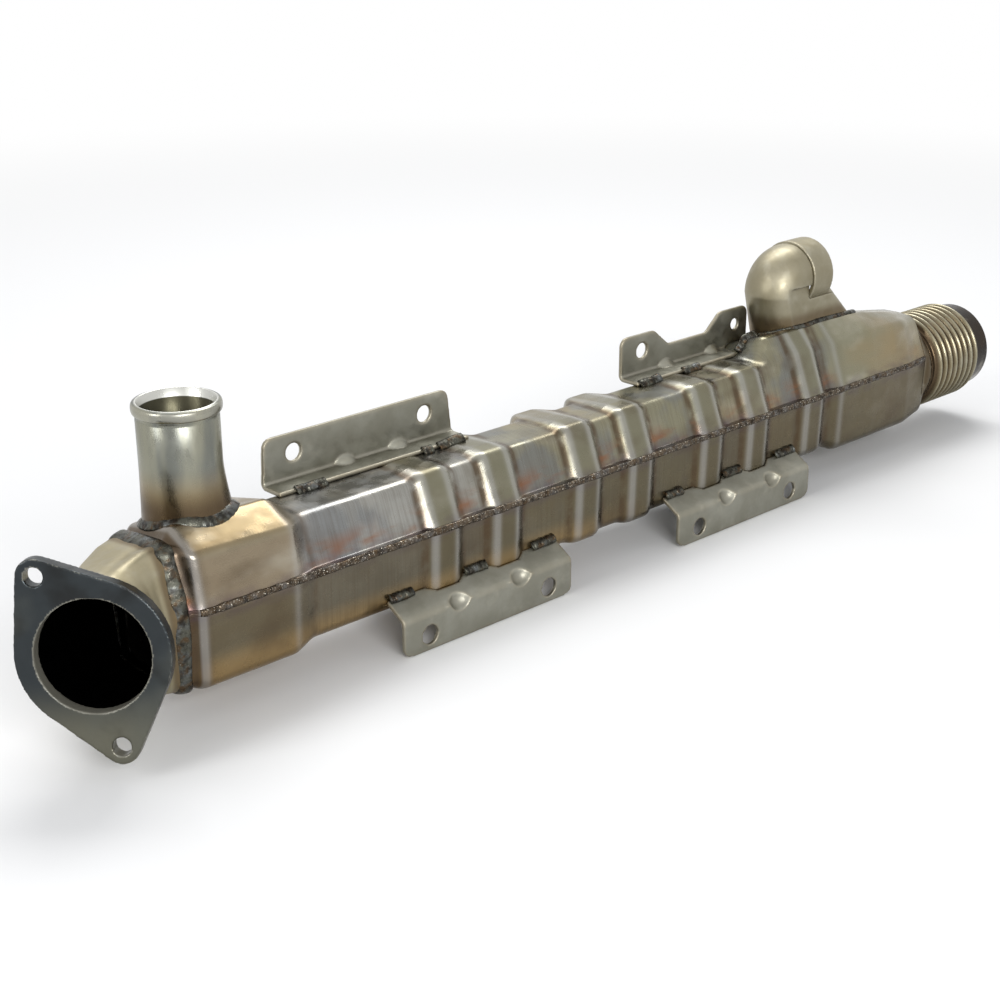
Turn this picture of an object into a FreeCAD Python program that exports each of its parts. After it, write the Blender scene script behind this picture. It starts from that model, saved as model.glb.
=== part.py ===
import FreeCAD, Part
import math
import os
import re
import Sketcher
from FreeCAD import Placement, Rotation, Vector

# Gas cooler for the exhaust recirculation of a diesel engine, welded from sheet steel.
# X runs from the gas inlet to the bellows, Z is up, Y = 0 is the middle of the tube bundle.
# While it is drawn, X = 0 is the inlet end of the shells and Z = 0 is the plane of the seams.
# Each finished node is then placed so that the origin is the middle of the front left bracket's bolt holes.

SIZES = {
    # stamped shells: half width at the seam, half width and height of the sharp corners
    "shell_length": 766.0,
    "shell_wall": 2.0,
    "valley_half": 33.0,
    "valley_top_half": 20.5,
    "valley_top": 33.5,
    "valley_base_half": 31.5,
    "valley_base": 49.8,
    "valley_rear_half": 37.0,
    "valley_rear_base_half": 34.0,
    "crest_half": 37.5,
    "crest_top_half": 22.5,
    "crest_top": 36.5,
    "crest_base_half": 36.0,
    "crest_base": 51.0,
    "crest_rear_half": 43.5,
    "crest_rear_top_half": 36.0,
    "crest_rear_top": 32.5,
    "crest_rear_base_half": 40.0,
    "corner_radius": 8.0,
    "base_radius": 9.0,
    "lip_reach": 1.0,
    "lip_height": 2.0,
    "lip_seat": 0.25,
    "collar_length": 5.0,
    "collar_top": 38.5,
    "collar_rear_half": 40.0,
    "collar_rear_top_half": 36.0,
    "collar_rear_top": 32.5,
    "collar_rear_base_half": 37.0,
    "collar_base": 52.0,
    "rear_bulge": 44.0,
    "rear_shoulder": 41.5,
    "chamber_base": 53.8,
    "outlet_base": 55.8,
    "chamber_start": 10.0,
    "chamber_end": 80.0,
    "chamber_ramp": 16.0,
    "inlet_shoulder": 30.0,
    "inlet_ridge": 47.0,
    "ridge_place": -8.0,
    "outlet_shoulder": 24.0,
    "outlet_ridge": 53.0,
    "outlet_start": 558.0,
    "outlet_rise": 13.0,
    "outlet_bulge": 628.0,
    "outlet_fall": 690.0,
    "outlet_slope": 740.0,
    "end_half": 34.5,
    "end_top_half": 19.0,
    "end_top": 34.5,
    "end_base_half": 33.0,
    "end_base": 54.0,
    "end_radius": 13.0,
    # cross ribs
    "rib_first": 204.0,
    "rib_short": 56.0,
    "rib_long": 80.5,
    "rib_last": 72.0,
    "rib_flat": 20.0,
    "rib_ramp": 7.0,
    # gas tubes, tube sheets and supports
    "tube_pitch": 6.9,
    "tube_thick": 5.0,
    "tube_height": 56.0,
    "tube_wall": 0.8,
    "tube_centre": -8.0,
    "tube_reach": 1.5,
    "sheet_thick": 4.0,
    "inlet_sheet": 0.5,
    "outlet_sheet": 735.5,
    "baffle_thick": 1.5,
    "baffle_first": 150.0,
    "baffle_second": 300.0,
    "baffle_third": 436.0,
    "baffle_fourth": 566.0,
    "baffle_window": 9.0,
    "fit": 0.1,
    # gas inlet flange and duct
    "flange_x": -67.0,
    "flange_y": -42.6,
    "flange_z": 0.1,
    "flange_turn": 44.6,
    "flange_tilt": 9.0,
    "flange_thick": 10.0,
    "flange_round": 45.0,
    "flange_bore": 33.5,
    "ear_radius": 10.5,
    "bolt_radius": 5.5,
    "upper_bolt_across": -31.5,
    "upper_bolt_up": 45.5,
    "lower_bolt_across": 14.2,
    "lower_bolt_up": -53.5,
    "duct_wall": 2.0,
    "duct_round": 36.5,
    "duct_pull": 42.0,
    "end_bead": 3.0,
    "end_bead_width": 6.5,
    # coolant inlet
    "inlet_x": 35.6,
    "inlet_y": 15.0,
    "inlet_rim": 115.2,
    "inlet_foot": 20.0,
    "inlet_radius": 25.4,
    "inlet_wall": 2.0,
    "inlet_bead": 27.5,
    "inlet_bead_height": 7.0,
    "inlet_flare": 5.2,
    "flare_low": 40.0,
    "flare_high": 76.0,
    "flare_lap": 0.5,
    "foot_bead": 5.0,
    # coolant outlet
    "riser_x": 614.0,
    "riser_radius": 26.0,
    "riser_foot_x": 622.5,
    "riser_foot_radius": 21.6,
    "outlet_x": 653.3,
    "outlet_y": 16.0,
    "outlet_z": 89.3,
    "outlet_radius": 27.6,
    "outlet_length": 24.8,
    "outlet_wall": 4.2,
    "hood_bend": 12.3,
    "hood_wall": 2.0,
    "hood_foot": 20.0,
    "hood_crease": 85.0,
    "hood_toe": 697.0,
    "hood_toe_height": 44.0,
    "hood_corner": 9.0,
    "skirt_half": 22.8,
    # gas outlet
    "gas_z": -14.0,
    "cap_length": 8.0,
    "cap_wall": 2.0,
    "neck_radius": 37.0,
    "neck_length": 6.0,
    "bellows_crest": 42.4,
    "bellows_pitch": 8.0,
    "bellows_wall": 1.0,
    "end_collar_radius": 38.0,
    "end_collar_length": 19.0,
    "end_collar_wall": 2.5,
    "sleeve_radius": 33.0,
    "sleeve_wall": 1.0,
    "sleeve_length": 62.0,
    # mounting brackets
    "bracket_thick": 3.0,
    "bracket_bend": 5.0,
    "bracket_corner": 7.0,
    "dent_radius": 10.0,
    "dent_offset": 3.2,
    "front_spacing": 110.5,
    "front_left_x": 232.0,
    "front_right_x": 505.0,
    "front_half_span": 78.0,
    "front_right_half_span": 80.0,
    "front_hole": 6.75,
    "front_plate_y": -49.5,
    "front_hole_z": -65.7,
    "front_low": -76.5,
    "front_bend_z": -50.0,
    "front_leg_y": -27.0,
    "front_leg_z": -37.0,
    "rear_spacing": 112.5,
    "rear_left_x": 186.5,
    "rear_right_x": 523.0,
    "rear_half_span": 82.0,
    "rear_hole": 6.0,
    "rear_small_hole": 4.5,
    "rear_plate_y": 30.0,
    "rear_hole_z": 54.0,
    "rear_high": 67.5,
    "rear_dip": 53.5,
    "rear_leg_y": 12.0,
    # seam welds
    "seam_bead": 2.4,
    "seam_bead_half": 2.2,
}

document = FreeCAD.newDocument("gas_cooler")
sheet = document.addObject("Spreadsheet::Sheet", "Dims")
for row, (alias, number) in enumerate(SIZES.items(), start=1):
    sheet.set("A%d" % row, alias)
    sheet.set("B%d" % row, str(number))
    sheet.setAlias("B%d" % row, alias)
document.recompute()


def formula(text):
    """A formula in which each named size is read from the sheet."""
    return re.sub(r"[a-z_]+", lambda word: "Dims." + word.group() if word.group() in SIZES else word.group(), str(text))


def size(text):
    """The value of a formula in the named sizes."""
    return float(sheet.evalExpression(formula(text)))


def bind(item, **sizes):
    """Tie properties to formulas; a double underscore stands for the dot of a path."""
    for name, text in sizes.items():
        item.setExpression(name.replace("__", "."), formula(text))


nodes = []


def node(item, name):
    """Give a finished piece its name and its place from the part's origin; the piece itself stays where it is drawn."""
    placed = document.addObject("Part::Compound", name)
    placed.Links = [item]
    placed.Label = name
    bind(placed, Placement__Base__x="-front_left_x", Placement__Base__y="-front_plate_y",
         Placement__Base__z="-front_hole_z")
    nodes.append(placed)
    return item


def solid(kind, name, **sizes):
    item = document.addObject(kind, name)
    bind(item, **sizes)
    return item


def cut(base, *tools):
    for tool in tools:
        item = document.addObject("Part::Cut", "cut")
        item.Base = base
        item.Tool = tool
        base = item
    return base


def fuse(*pieces):
    item = document.addObject("Part::MultiFuse", "fuse")
    item.Shapes = list(pieces)
    return item


def common(*pieces):
    item = document.addObject("Part::MultiCommon", "common")
    item.Shapes = list(pieces)
    return item


def feature(name, shape):
    item = document.addObject("Part::Feature", name)
    item.Shape = shape
    item.Placement = Placement()
    return item


def upright(name, radius, x, y, low, high):
    """A vertical cylinder."""
    item = solid("Part::Cylinder", name, Radius=radius, Height="(%s) - (%s)" % (high, low))
    bind(item, Placement__Base__x=x, Placement__Base__y=y, Placement__Base__z=low)
    return item


def lengthways(name, radius, start, end, y, z):
    """A cylinder along X."""
    item = solid("Part::Cylinder", name, Radius=radius, Height="(%s) - (%s)" % (end, start))
    item.Placement = Placement(Vector(), Rotation(Vector(0, 1, 0), 90))
    bind(item, Placement__Base__x=start, Placement__Base__y=y, Placement__Base__z=z)
    return item


def block(name, x, y, z):
    """A box between pairs of formulas."""
    spans = {}
    for axis, side, (low, high) in zip("xyz", ("Length", "Width", "Height"), (x, y, z)):
        spans[side] = "(%s) - (%s)" % (high, low)
        spans["Placement__Base__" + axis] = low
    return solid("Part::Box", name, **spans)


# Sketches: every point is held by two formulas

def sketch_on(body, role, offset=None):
    """A sketch on one of the body's own planes, moved along its normal by a formula."""
    sketch = body.newObject("Sketcher::SketchObject", "sketch")
    plane = next(item for item in body.Origin.OriginFeatures if item.Role == role)
    sketch.AttachmentSupport = [(plane, "")]
    sketch.MapMode = "FlatFace"
    if offset is not None:
        sketch.setExpression(".AttachmentOffset.Base.z", formula(offset))
    return sketch


def hold(sketch, kind, geometry, point, text):
    index = sketch.addConstraint(Sketcher.Constraint(kind, -1, 1, geometry, point, size(text)))
    sketch.setExpression("Constraints[%d]" % index, formula(text))


def outline(sketch, corners):
    """A closed outline of straight lines through the given corners."""
    points = [Vector(size(x), size(y), 0) for x, y in corners]
    first = sketch.GeometryCount
    for start, end in zip(points, points[1:] + points[:1]):
        sketch.addGeometry(Part.LineSegment(start, end))
    for place, (x, y) in enumerate(corners):
        before = first + (place - 1) % len(corners)
        sketch.addConstraint(Sketcher.Constraint("Coincident", before, 2, first + place, 1))
        hold(sketch, "DistanceX", first + place, 1, x)
        hold(sketch, "DistanceY", first + place, 1, y)


def circle(sketch, x, y, radius):
    geometry = sketch.addGeometry(Part.Circle(Vector(size(x), size(y), 0), Vector(0, 0, 1), size(radius)))
    hold(sketch, "DistanceX", geometry, 3, x)
    hold(sketch, "DistanceY", geometry, 3, y)
    index = sketch.addConstraint(Sketcher.Constraint("Radius", geometry, size(radius)))
    sketch.setExpression("Constraints[%d]" % index, formula(radius))


def pad(body, sketch, length, reverse=False):
    item = body.newObject("PartDesign::Pad", "pad")
    item.Profile = sketch
    item.Reversed = reverse
    bind(item, Length=length)
    return item


def turned(name, profile, z="0"):
    """A body of revolution about an axis along X at height z; corners are x and distance from it."""
    body = document.addObject("PartDesign::Body", name)
    sketch = sketch_on(body, "XZ_Plane")
    outline(sketch, profile)
    item = body.newObject("PartDesign::Revolution", "turn")
    item.Profile = sketch
    item.ReferenceAxis = (sketch, ["H_Axis"])
    item.Angle = 360
    bind(body, Placement__Base__z=z)
    return body


def prism(name, role, corners, low, high, holes=()):
    """Straight-sided prism on one of the origin planes between two formulas along its normal."""
    body = document.addObject("PartDesign::Body", name)
    sketch = sketch_on(body, role, low)
    outline(sketch, corners)
    for hole in holes:
        circle(sketch, *hole)
    pad(body, sketch, "(%s) - (%s)" % (high, low))
    return body


def soften(body, radius, chosen):
    """Round the edges of a body's last feature that a test picks."""
    document.recompute()
    last = body.Tip
    names = ["Edge%d" % (place + 1) for place, edge in enumerate(last.Shape.Edges) if chosen(edge)]
    item = body.newObject("PartDesign::Fillet", "round")
    item.Base = (last, names)
    bind(item, Radius=radius)
    return item


def runs_along(edge, axis):
    if len(edge.Vertexes) != 2:
        return False
    way = edge.Vertexes[1].Point - edge.Vertexes[0].Point
    return way.Length > 0.1 and abs(abs(way.normalize().dot(axis)) - 1) < 1e-6


# Rounded outlines across the cooler

def rounded(points, radii):
    """Closed wire of straight lines through points; a corner's radius makes an arc, or a flat if negative."""
    stretches = []
    for place, (corner, radius) in enumerate(zip(points, radii)):
        before = (points[place - 1] - corner).normalize()
        after = (points[(place + 1) % len(points)] - corner).normalize()
        if radius == 0:
            stretches.append((corner, None, corner))
            continue
        half = before.getAngle(after) / 2
        reach = abs(radius) / math.tan(half)
        start = corner + before * reach
        end = corner + after * reach
        if radius < 0:
            stretches.append((start, Part.LineSegment(start, end).toShape(), end))
            continue
        middle = corner + (before + after).normalize() * (radius / math.sin(half) - radius)
        stretches.append((start, Part.Arc(start, middle, end).toShape(), end))
    edges = []
    for place, (start, bend, end) in enumerate(stretches):
        if bend:
            edges.append(bend)
        edges.append(Part.LineSegment(end, stretches[(place + 1) % len(stretches)][0]).toShape())
    return Part.Wire(edges)


def inset(corners, wall):
    """Move an open run of (y, z) corners inward; its first and last corner stay on their level."""
    normals = []
    for (y, z), (next_y, next_z) in zip(corners, corners[1:]):
        length = math.hypot(next_y - y, next_z - z)
        normals.append(((next_z - z) / length, (y - next_y) / length))
    inner = [(corners[0][0] + wall / normals[0][0], corners[0][1])]
    for (y, z), first, second in zip(corners[1:-1], normals, normals[1:]):
        share = wall / (1 + first[0] * second[0] + first[1] * second[1])
        inner.append((y + share * (first[0] + second[0]), z + share * (first[1] + second[1])))
    inner.append((corners[-1][0] + wall / normals[-1][0], corners[-1][1]))
    return inner


# Forms of the shells' cross section: seam, upper corners, ridge, lower corners, base and lips

LIP = size("crest_half + lip_reach")
REAR_LIP = size("rear_bulge + lip_reach")
VALLEY = {
    "front": size("valley_half"), "rear": size("valley_rear_half"),
    "up_front": size("valley_top_half"), "up_rear": size("valley_top_half"),
    "top": size("valley_top"), "rear_top": size("valley_top"),
    "ridge_y": size("ridge_place"), "ridge": size("valley_top"), "round": size("corner_radius"),
    "down_front": size("valley_base_half"), "down_rear": size("valley_rear_base_half"),
    "base": size("valley_base"), "base_round": size("base_radius"),
    "lip_front": LIP, "lip_rear": REAR_LIP,
}
CREST = dict(
    VALLEY, front=size("crest_half"), rear=size("crest_rear_half"),
    up_front=size("crest_top_half"), up_rear=size("crest_rear_top_half"),
    top=size("crest_top"), rear_top=size("crest_rear_top"), ridge=size("crest_top"),
    down_front=size("crest_base_half"), down_rear=size("crest_rear_base_half"), base=size("crest_base"),
)
COLLAR = dict(
    VALLEY, rear=size("collar_rear_half"), up_rear=size("collar_rear_top_half"),
    down_rear=size("collar_rear_base_half"), base=size("collar_base"),
    top=size("collar_top"), rear_top=size("collar_rear_top"), ridge=size("collar_top"),
    lip_front=size("valley_half + lip_seat"), lip_rear=size("collar_rear_half + lip_seat"),
)
CHAMBER = dict(
    CREST, rear=size("rear_bulge"), up_front=size("inlet_shoulder"), up_rear=size("rear_shoulder"),
    top=size("valley_top + 1"), rear_top=size("valley_top + 1"), ridge=size("inlet_ridge"),
    down_rear=size("rear_shoulder"), base=size("chamber_base"),
)
CHAMBER_END = dict(
    CHAMBER, up_front=size("inlet_shoulder + 4"), top=size("valley_top"), rear_top=size("valley_top"),
    ridge=size("inlet_ridge - 1"),
)
ROOF = dict(
    rear=size("rear_bulge"), up_rear=size("rear_shoulder"), rear_top=size("valley_top + 1"), ridge=size("outlet_ridge"),
)
ROOF_VALLEY = dict(VALLEY, **ROOF)
ROOF_CREST = dict(CREST, **ROOF)
OUTLET = dict(
    ROOF_CREST, up_front=size("outlet_shoulder"), top=size("crest_top - 0.5"),
    down_rear=size("rear_shoulder"), base=size("outlet_base"),
)
OUTLET_FALL = dict(
    OUTLET, up_front=size("outlet_shoulder + 5"), top=size("crest_top + 2"), ridge=size("outlet_ridge - 2"),
)
OUTLET_SLOPE = dict(
    OUTLET, front=size("crest_half - 1"), rear=size("crest_half + 2"), up_front=size("outlet_shoulder + 2"),
    up_rear=size("crest_half - 4"), down_rear=size("crest_half"), ridge=size("outlet_ridge - 12.5"),
    lip_rear=size("crest_half + 3"), ridge_y=size("ridge_place + 4"),
)
END = dict(
    VALLEY, front=size("end_half"), rear=size("end_half"), up_front=size("end_top_half"), up_rear=size("end_top_half"),
    top=size("end_top"), rear_top=size("end_top"), ridge=size("end_top + 0.5"), ridge_y=0, round=size("end_radius"),
    down_front=size("end_base_half"), down_rear=size("end_base_half"), base=size("end_base"),
    base_round=size("end_radius"), lip_front=size("end_half + lip_seat"), lip_rear=size("end_half + lip_seat"),
)


def blend(start, end, share):
    return {name: start[name] + (end[name] - start[name]) * share for name in start}


def rib(centre, valley, crest):
    half = size("rib_flat") / 2
    foot = half + size("rib_ramp")
    return [(centre - foot, valley), (centre - half, crest), (centre + half, crest), (centre + foot, valley)]


def rib_centres():
    """Ribs stand in pairs, with one more beside the coolant outlet."""
    places = [size("rib_first")]
    for step in ("rib_short", "rib_long", "rib_short", "rib_long", "rib_short", "rib_last"):
        places.append(places[-1] + size(step))
    return places


RIBS = rib_centres()
stations = [
    (0, COLLAR), (size("collar_length"), COLLAR), (size("chamber_start"), CHAMBER),
    (size("chamber_end"), CHAMBER_END), (size("chamber_end + chamber_ramp"), VALLEY),
]
for centre in RIBS[:-1]:
    stations += rib(centre, VALLEY, CREST)
stations += [(size("outlet_start"), VALLEY), (size("outlet_start + outlet_rise"), ROOF_VALLEY)]
stations += rib(RIBS[-1], ROOF_VALLEY, ROOF_CREST)
stations += [
    (size("outlet_bulge"), ROOF_VALLEY), (size("outlet_bulge + outlet_rise"), OUTLET),
    (size("outlet_fall"), OUTLET_FALL),
    (size("outlet_slope"), OUTLET_SLOPE),
    (size("shell_length"), END),
]


def upper_corners(form, grow=0):
    """Front seam, front corner, ridge, rear corner and rear seam of the upper shell."""
    return [
        (-form["front"] - grow, 0), (-form["up_front"] - grow / 2, form["top"] + grow),
        (form["ridge_y"], form["ridge"] + grow),
        (form["up_rear"] + grow / 2, form["rear_top"] + grow), (form["rear"] + grow, 0),
    ]


def lower_corners(form, grow=0):
    """The lower shell's corners, turned up so that both shells are drawn alike."""
    return [
        (-form["front"] - grow, 0), (-form["down_front"] - grow / 2, form["base"] + grow),
        (0, form["base"] + grow),
        (form["down_rear"] + grow / 2, form["base"] + grow), (form["rear"] + grow, 0),
    ]


def shell_wire(x, form, side):
    """C-shaped section of one shell with its lips; the inner corners are cut flat."""
    corners = upper_corners(form) if side > 0 else lower_corners(form)
    radius = form["round"] if side > 0 else form["base_round"]
    wall = size("shell_wall")
    lip = size("lip_height")
    (front, start), (shoulder, top) = corners[0], corners[1]
    (far_shoulder, far_top), (rear, end) = corners[3], corners[4]
    front_foot = front + (shoulder - front) * lip / top
    rear_foot = rear + (far_shoulder - rear) * lip / far_top
    outer = [(-form["lip_front"], 0), (-form["lip_front"], lip), (front_foot, lip)] + corners[1:4]
    outer += [(rear_foot, lip), (form["lip_rear"], lip), (form["lip_rear"], 0)]
    inner = inset(corners, wall)[::-1]
    radii = [0, 0, 0, radius, 0, radius, 0, 0, 0, 0, -radius / 2, 0, -radius / 2, 0]
    points = [Vector(x, y, side * z) for y, z in outer + inner]
    return rounded(points, radii)


def dome_wire(x, form, side, grow=0):
    """The same section closed by a flat underside, as a tool to cut what sits on the shell."""
    corners = upper_corners(form, grow) if side > 0 else lower_corners(form, grow)
    radius = (form["round"] if side > 0 else form["base_round"]) + grow / 2
    return rounded([Vector(x, y, side * z) for y, z in corners], [0, radius, 0, radius, 0])


def loft(name, wires, ruled=True):
    return feature(name, Part.makeLoft(wires, True, ruled))


def stretch(start, end):
    """The stations between two places, both included."""
    return [(x, form) for x, form in stations if start - 1e-6 <= x <= end + 1e-6]


upper_blank = loft("upper_blank", [shell_wire(x, form, 1) for x, form in stations])
lower_blank = loft("lower_blank", [shell_wire(x, form, -1) for x, form in stations])
upper_dome = loft("upper_dome", [dome_wire(x, form, 1) for x, form in stations])
lower_dome = loft("lower_dome", [dome_wire(x, form, -1) for x, form in stations])

# Coolant inlet: a straight pipe with a hose bead, set on the inlet chamber's roof

inlet = ("inlet_x", "inlet_y")
pipe_profile = [
    ("inlet_radius - inlet_wall", "inlet_foot"), ("inlet_radius", "inlet_foot"),
    ("inlet_radius", "inlet_rim - inlet_bead_height"), ("inlet_bead", "inlet_rim - inlet_bead_height + 2"),
    ("inlet_bead", "inlet_rim - 2"), ("inlet_bead - 1", "inlet_rim"),
    ("inlet_radius - inlet_wall", "inlet_rim"),
]
pipe_body = document.addObject("PartDesign::Body", "pipe_body")
pipe_sketch = sketch_on(pipe_body, "XZ_Plane")
outline(pipe_sketch, pipe_profile)
pipe_turn = pipe_body.newObject("PartDesign::Revolution", "turn")
pipe_turn.Profile = pipe_sketch
pipe_turn.ReferenceAxis = (pipe_sketch, ["V_Axis"])
pipe_turn.Angle = 360
bind(pipe_body, Placement__Base__x="inlet_x", Placement__Base__y="inlet_y")


def ring(radius, x, level):
    return Part.Wire(Part.Circle(Vector(x, size("inlet_y"), level), Vector(0, 0, 1), radius).toShape())


# The pipe's foot widens on one side only
flare_middle = size("inlet_x + inlet_flare / 2")
flare_foot = size("inlet_radius + inlet_flare / 2 + flare_lap")
flare = loft("flare", [ring(flare_foot, flare_middle, size("flare_low")),
                       ring(size("inlet_radius - flare_lap"), size("inlet_x"), size("flare_high"))])

inlet_core = upright("inlet_core", "inlet_radius - inlet_wall", *inlet, "inlet_foot", "inlet_rim")
inlet_fill = upright("inlet_fill", "inlet_radius", *inlet, "0", "inlet_rim")
node(cut(fuse(pipe_body, flare), inlet_core, upper_dome), "coolant_inlet_pipe")
upper_skin = loft(
    "upper_skin", [dome_wire(x, form, 1, size("foot_bead")) for x, form in stretch(size("collar_length"), size("outlet_slope"))]
)
inlet_collar = upright(
    "inlet_collar", "inlet_radius + inlet_flare / 2 + foot_bead", "inlet_x + inlet_flare / 2", "inlet_y",
    "inlet_foot + 8", "inlet_rim - 20",
)
node(cut(common(inlet_collar, upper_skin), upper_dome, inlet_fill, flare), "coolant_inlet_weld")

# Coolant outlet: a hood with a riser that turns sharply into the outlet pipe, and a flat-sided toe


def elbow(radius):
    """Riser, turn and outlet tube; the turn's axis lies inside the tube, so only its outer part swings."""
    x = size("riser_x")
    y = size("outlet_y")
    bend = size("hood_bend")
    level = size("outlet_z") - bend
    foot = size("hood_foot")
    shrink = size("riser_radius") - radius
    ends = ((size("riser_foot_x"), foot, size("riser_foot_radius") - shrink), (x, level, radius))
    rims = [Part.Wire(Part.Circle(Vector(place, y, z), Vector(0, 0, 1), reach).toShape()) for place, z, reach in ends]
    riser = Part.makeLoft(rims, True, True)
    run = size("outlet_x - outlet_length") - x - bend
    tube = Part.makeCylinder(radius, run, Vector(x + bend, y, level + bend), Vector(1, 0, 0))
    disc = Part.Face(Part.Wire(Part.Circle(Vector(x, y, level), Vector(0, 0, 1), radius).toShape()))
    half = Part.makeBox(2 * radius, 2 * radius, 2, Vector(x + bend - 2 * radius, y - radius, level - 1))
    part_disc = disc.common(half).Faces[0]
    turn = part_disc.revolve(Vector(x + bend, y, level), Vector(0, 1, 0), 90)
    inner_corner = Part.makeCylinder(radius, radius, Vector(x, y, level))
    inner_corner = inner_corner.common(
        Part.makeCylinder(radius, 2 * radius, Vector(x + bend, y, level + bend), Vector(1, 0, 0))
    )
    return riser.fuse([turn, tube, inner_corner]).removeSplitter()


def toe(wall):
    """Flat-sided part of the hood below the outlet tube, with a sloping end."""
    half = size("skirt_half") - wall
    y = size("outlet_y")
    corner = size("hood_corner") - wall
    wires = []
    for level, end in ((size("hood_foot"), size("hood_toe")), (size("hood_toe_height"), size("hood_toe")),
                       (size("hood_crease"), size("outlet_x"))):
        start = size("riser_foot_x")
        points = [Vector(start, y - half, level), Vector(end - wall, y - half, level),
                  Vector(end - wall, y + half, level), Vector(start, y + half, level)]
        wires.append(rounded(points, [0, corner, corner, 0]))
    return Part.makeLoft(wires, True, True)


def flattened(shape, wall):
    """Press the riser's sides flat, in line with the toe, up to the crease."""
    reach = size("riser_radius")
    half = size("skirt_half") - wall
    x = size("riser_x") - reach
    y = size("outlet_y")
    low = size("hood_foot") - 1
    long = size("hood_toe") - x
    high = size("hood_crease") - low
    sides = [Part.makeBox(long, reach, high, Vector(x, place, low)) for place in (y - half - reach, y + half)]
    return shape.cut(sides)


def hood(wall):
    return flattened(elbow(size("riser_radius") - wall).fuse(toe(wall)), wall)


hood_outer = feature("hood_outer", hood(0))
hood_inner = feature("hood_inner", hood(size("hood_wall")))
toe_outer = feature("toe_outer", toe(0))
pipe_fill = lengthways("pipe_fill", "outlet_radius", "outlet_x - outlet_length", "hood_toe + 5", "outlet_y", "outlet_z")
pipe_core = lengthways(
    "pipe_core", "outlet_radius - outlet_wall", "outlet_x - outlet_length - 1", "hood_toe + 6", "outlet_y", "outlet_z"
)
node(cut(hood_outer, hood_inner, upper_dome, pipe_fill), "coolant_outlet_hood")
mouth = block("mouth", ("outlet_x - 60", "outlet_x"), ("outlet_y - 40", "outlet_y + 40"), ("outlet_z - 40", "outlet_z + 40"))
node(cut(common(pipe_fill, fuse(mouth, toe_outer)), pipe_core), "coolant_outlet_pipe")

hood_bed = fuse(
    upright(
        "riser_bed", "riser_foot_radius + foot_bead + 1.5", "riser_foot_x - 3", "outlet_y", "hood_foot + 8", "hood_crease"
    ),
    block(
        "toe_bed", ("riser_foot_x", "hood_toe + foot_bead"),
        ("outlet_y - skirt_half - foot_bead", "outlet_y + skirt_half + foot_bead"), ("hood_foot + 8", "hood_crease"),
    ),
)
hood_weld = node(cut(common(hood_bed, upper_skin), upper_dome, hood_outer), "coolant_outlet_weld")

node(cut(upper_blank, inlet_core, hood_inner), "upper_shell")
node(lower_blank, "lower_shell")


# Welds along the seams

def seam(name, edge, side):
    wires = []
    for x, form in stations[1:-1]:
        lip = form[edge]
        half = size("seam_bead_half")
        reach = size("seam_bead")
        corners = [(lip, -half), (lip + 0.8 * reach, -half / 2), (lip + reach, 0), (lip + 0.8 * reach, half / 2), (lip, half)]
        wires.append(Part.makePolygon([Vector(x, side * y, z) for y, z in corners + corners[:1]]))
    return node(loft("bead", wires), name)


seam("seam_weld_front", "lip_front", -1)
seam("seam_weld_rear", "lip_rear", 1)

# Tube bundle: six flat tubes on edge between two tube sheets, held by four support plates


def slot(sketch, y, half_thick, half_height):
    """A tall outline with round ends."""
    x = size(y)
    z = size("tube_centre")
    half = size(half_thick)
    straight = size(half_height) - half
    left = sketch.addGeometry(Part.LineSegment(Vector(x - half, z - straight, 0), Vector(x - half, z + straight, 0)))
    right = sketch.addGeometry(Part.LineSegment(Vector(x + half, z + straight, 0), Vector(x + half, z - straight, 0)))
    axis = Vector(0, 0, 1)
    top = sketch.addGeometry(Part.ArcOfCircle(Part.Circle(Vector(x, z + straight, 0), axis, half), 0, math.pi))
    low = sketch.addGeometry(Part.ArcOfCircle(Part.Circle(Vector(x, z - straight, 0), axis, half), math.pi, 2 * math.pi))
    sketch.addConstraint(Sketcher.Constraint("Tangent", left, 2, top, 2))
    sketch.addConstraint(Sketcher.Constraint("Tangent", top, 1, right, 1))
    sketch.addConstraint(Sketcher.Constraint("Tangent", right, 2, low, 2))
    sketch.addConstraint(Sketcher.Constraint("Tangent", low, 1, left, 1))
    hold(sketch, "DistanceX", top, 3, y)
    hold(sketch, "DistanceY", top, 3, "tube_centre + (%s) - (%s)" % (half_height, half_thick))
    hold(sketch, "DistanceY", low, 3, "tube_centre - (%s) + (%s)" % (half_height, half_thick))
    index = sketch.addConstraint(Sketcher.Constraint("Radius", top, half))
    sketch.setExpression("Constraints[%d]" % index, formula(half_thick))


TUBES = ["tube_pitch * %.1f" % (place - 2.5) for place in range(6)]
for place, y in enumerate(TUBES, start=1):
    tube = document.addObject("PartDesign::Body", "tube")
    section = sketch_on(tube, "YZ_Plane", "inlet_sheet - tube_reach")
    slot(section, "0", "tube_thick / 2", "tube_height / 2")
    slot(section, "0", "tube_thick / 2 - tube_wall", "tube_height / 2 - tube_wall")
    pad(tube, section, "outlet_sheet - inlet_sheet + sheet_thick + tube_reach * 2")
    bind(tube, Placement__Base__y=y)
    node(tube, "gas_tube_%d" % place)

hole_body = document.addObject("PartDesign::Body", "tube_holes")
hole_sketch = sketch_on(hole_body, "YZ_Plane", "-1")
for y in TUBES:
    slot(hole_sketch, y, "tube_thick / 2 + fit", "tube_height / 2 + fit")
pad(hole_body, hole_sketch, "shell_length")


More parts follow.
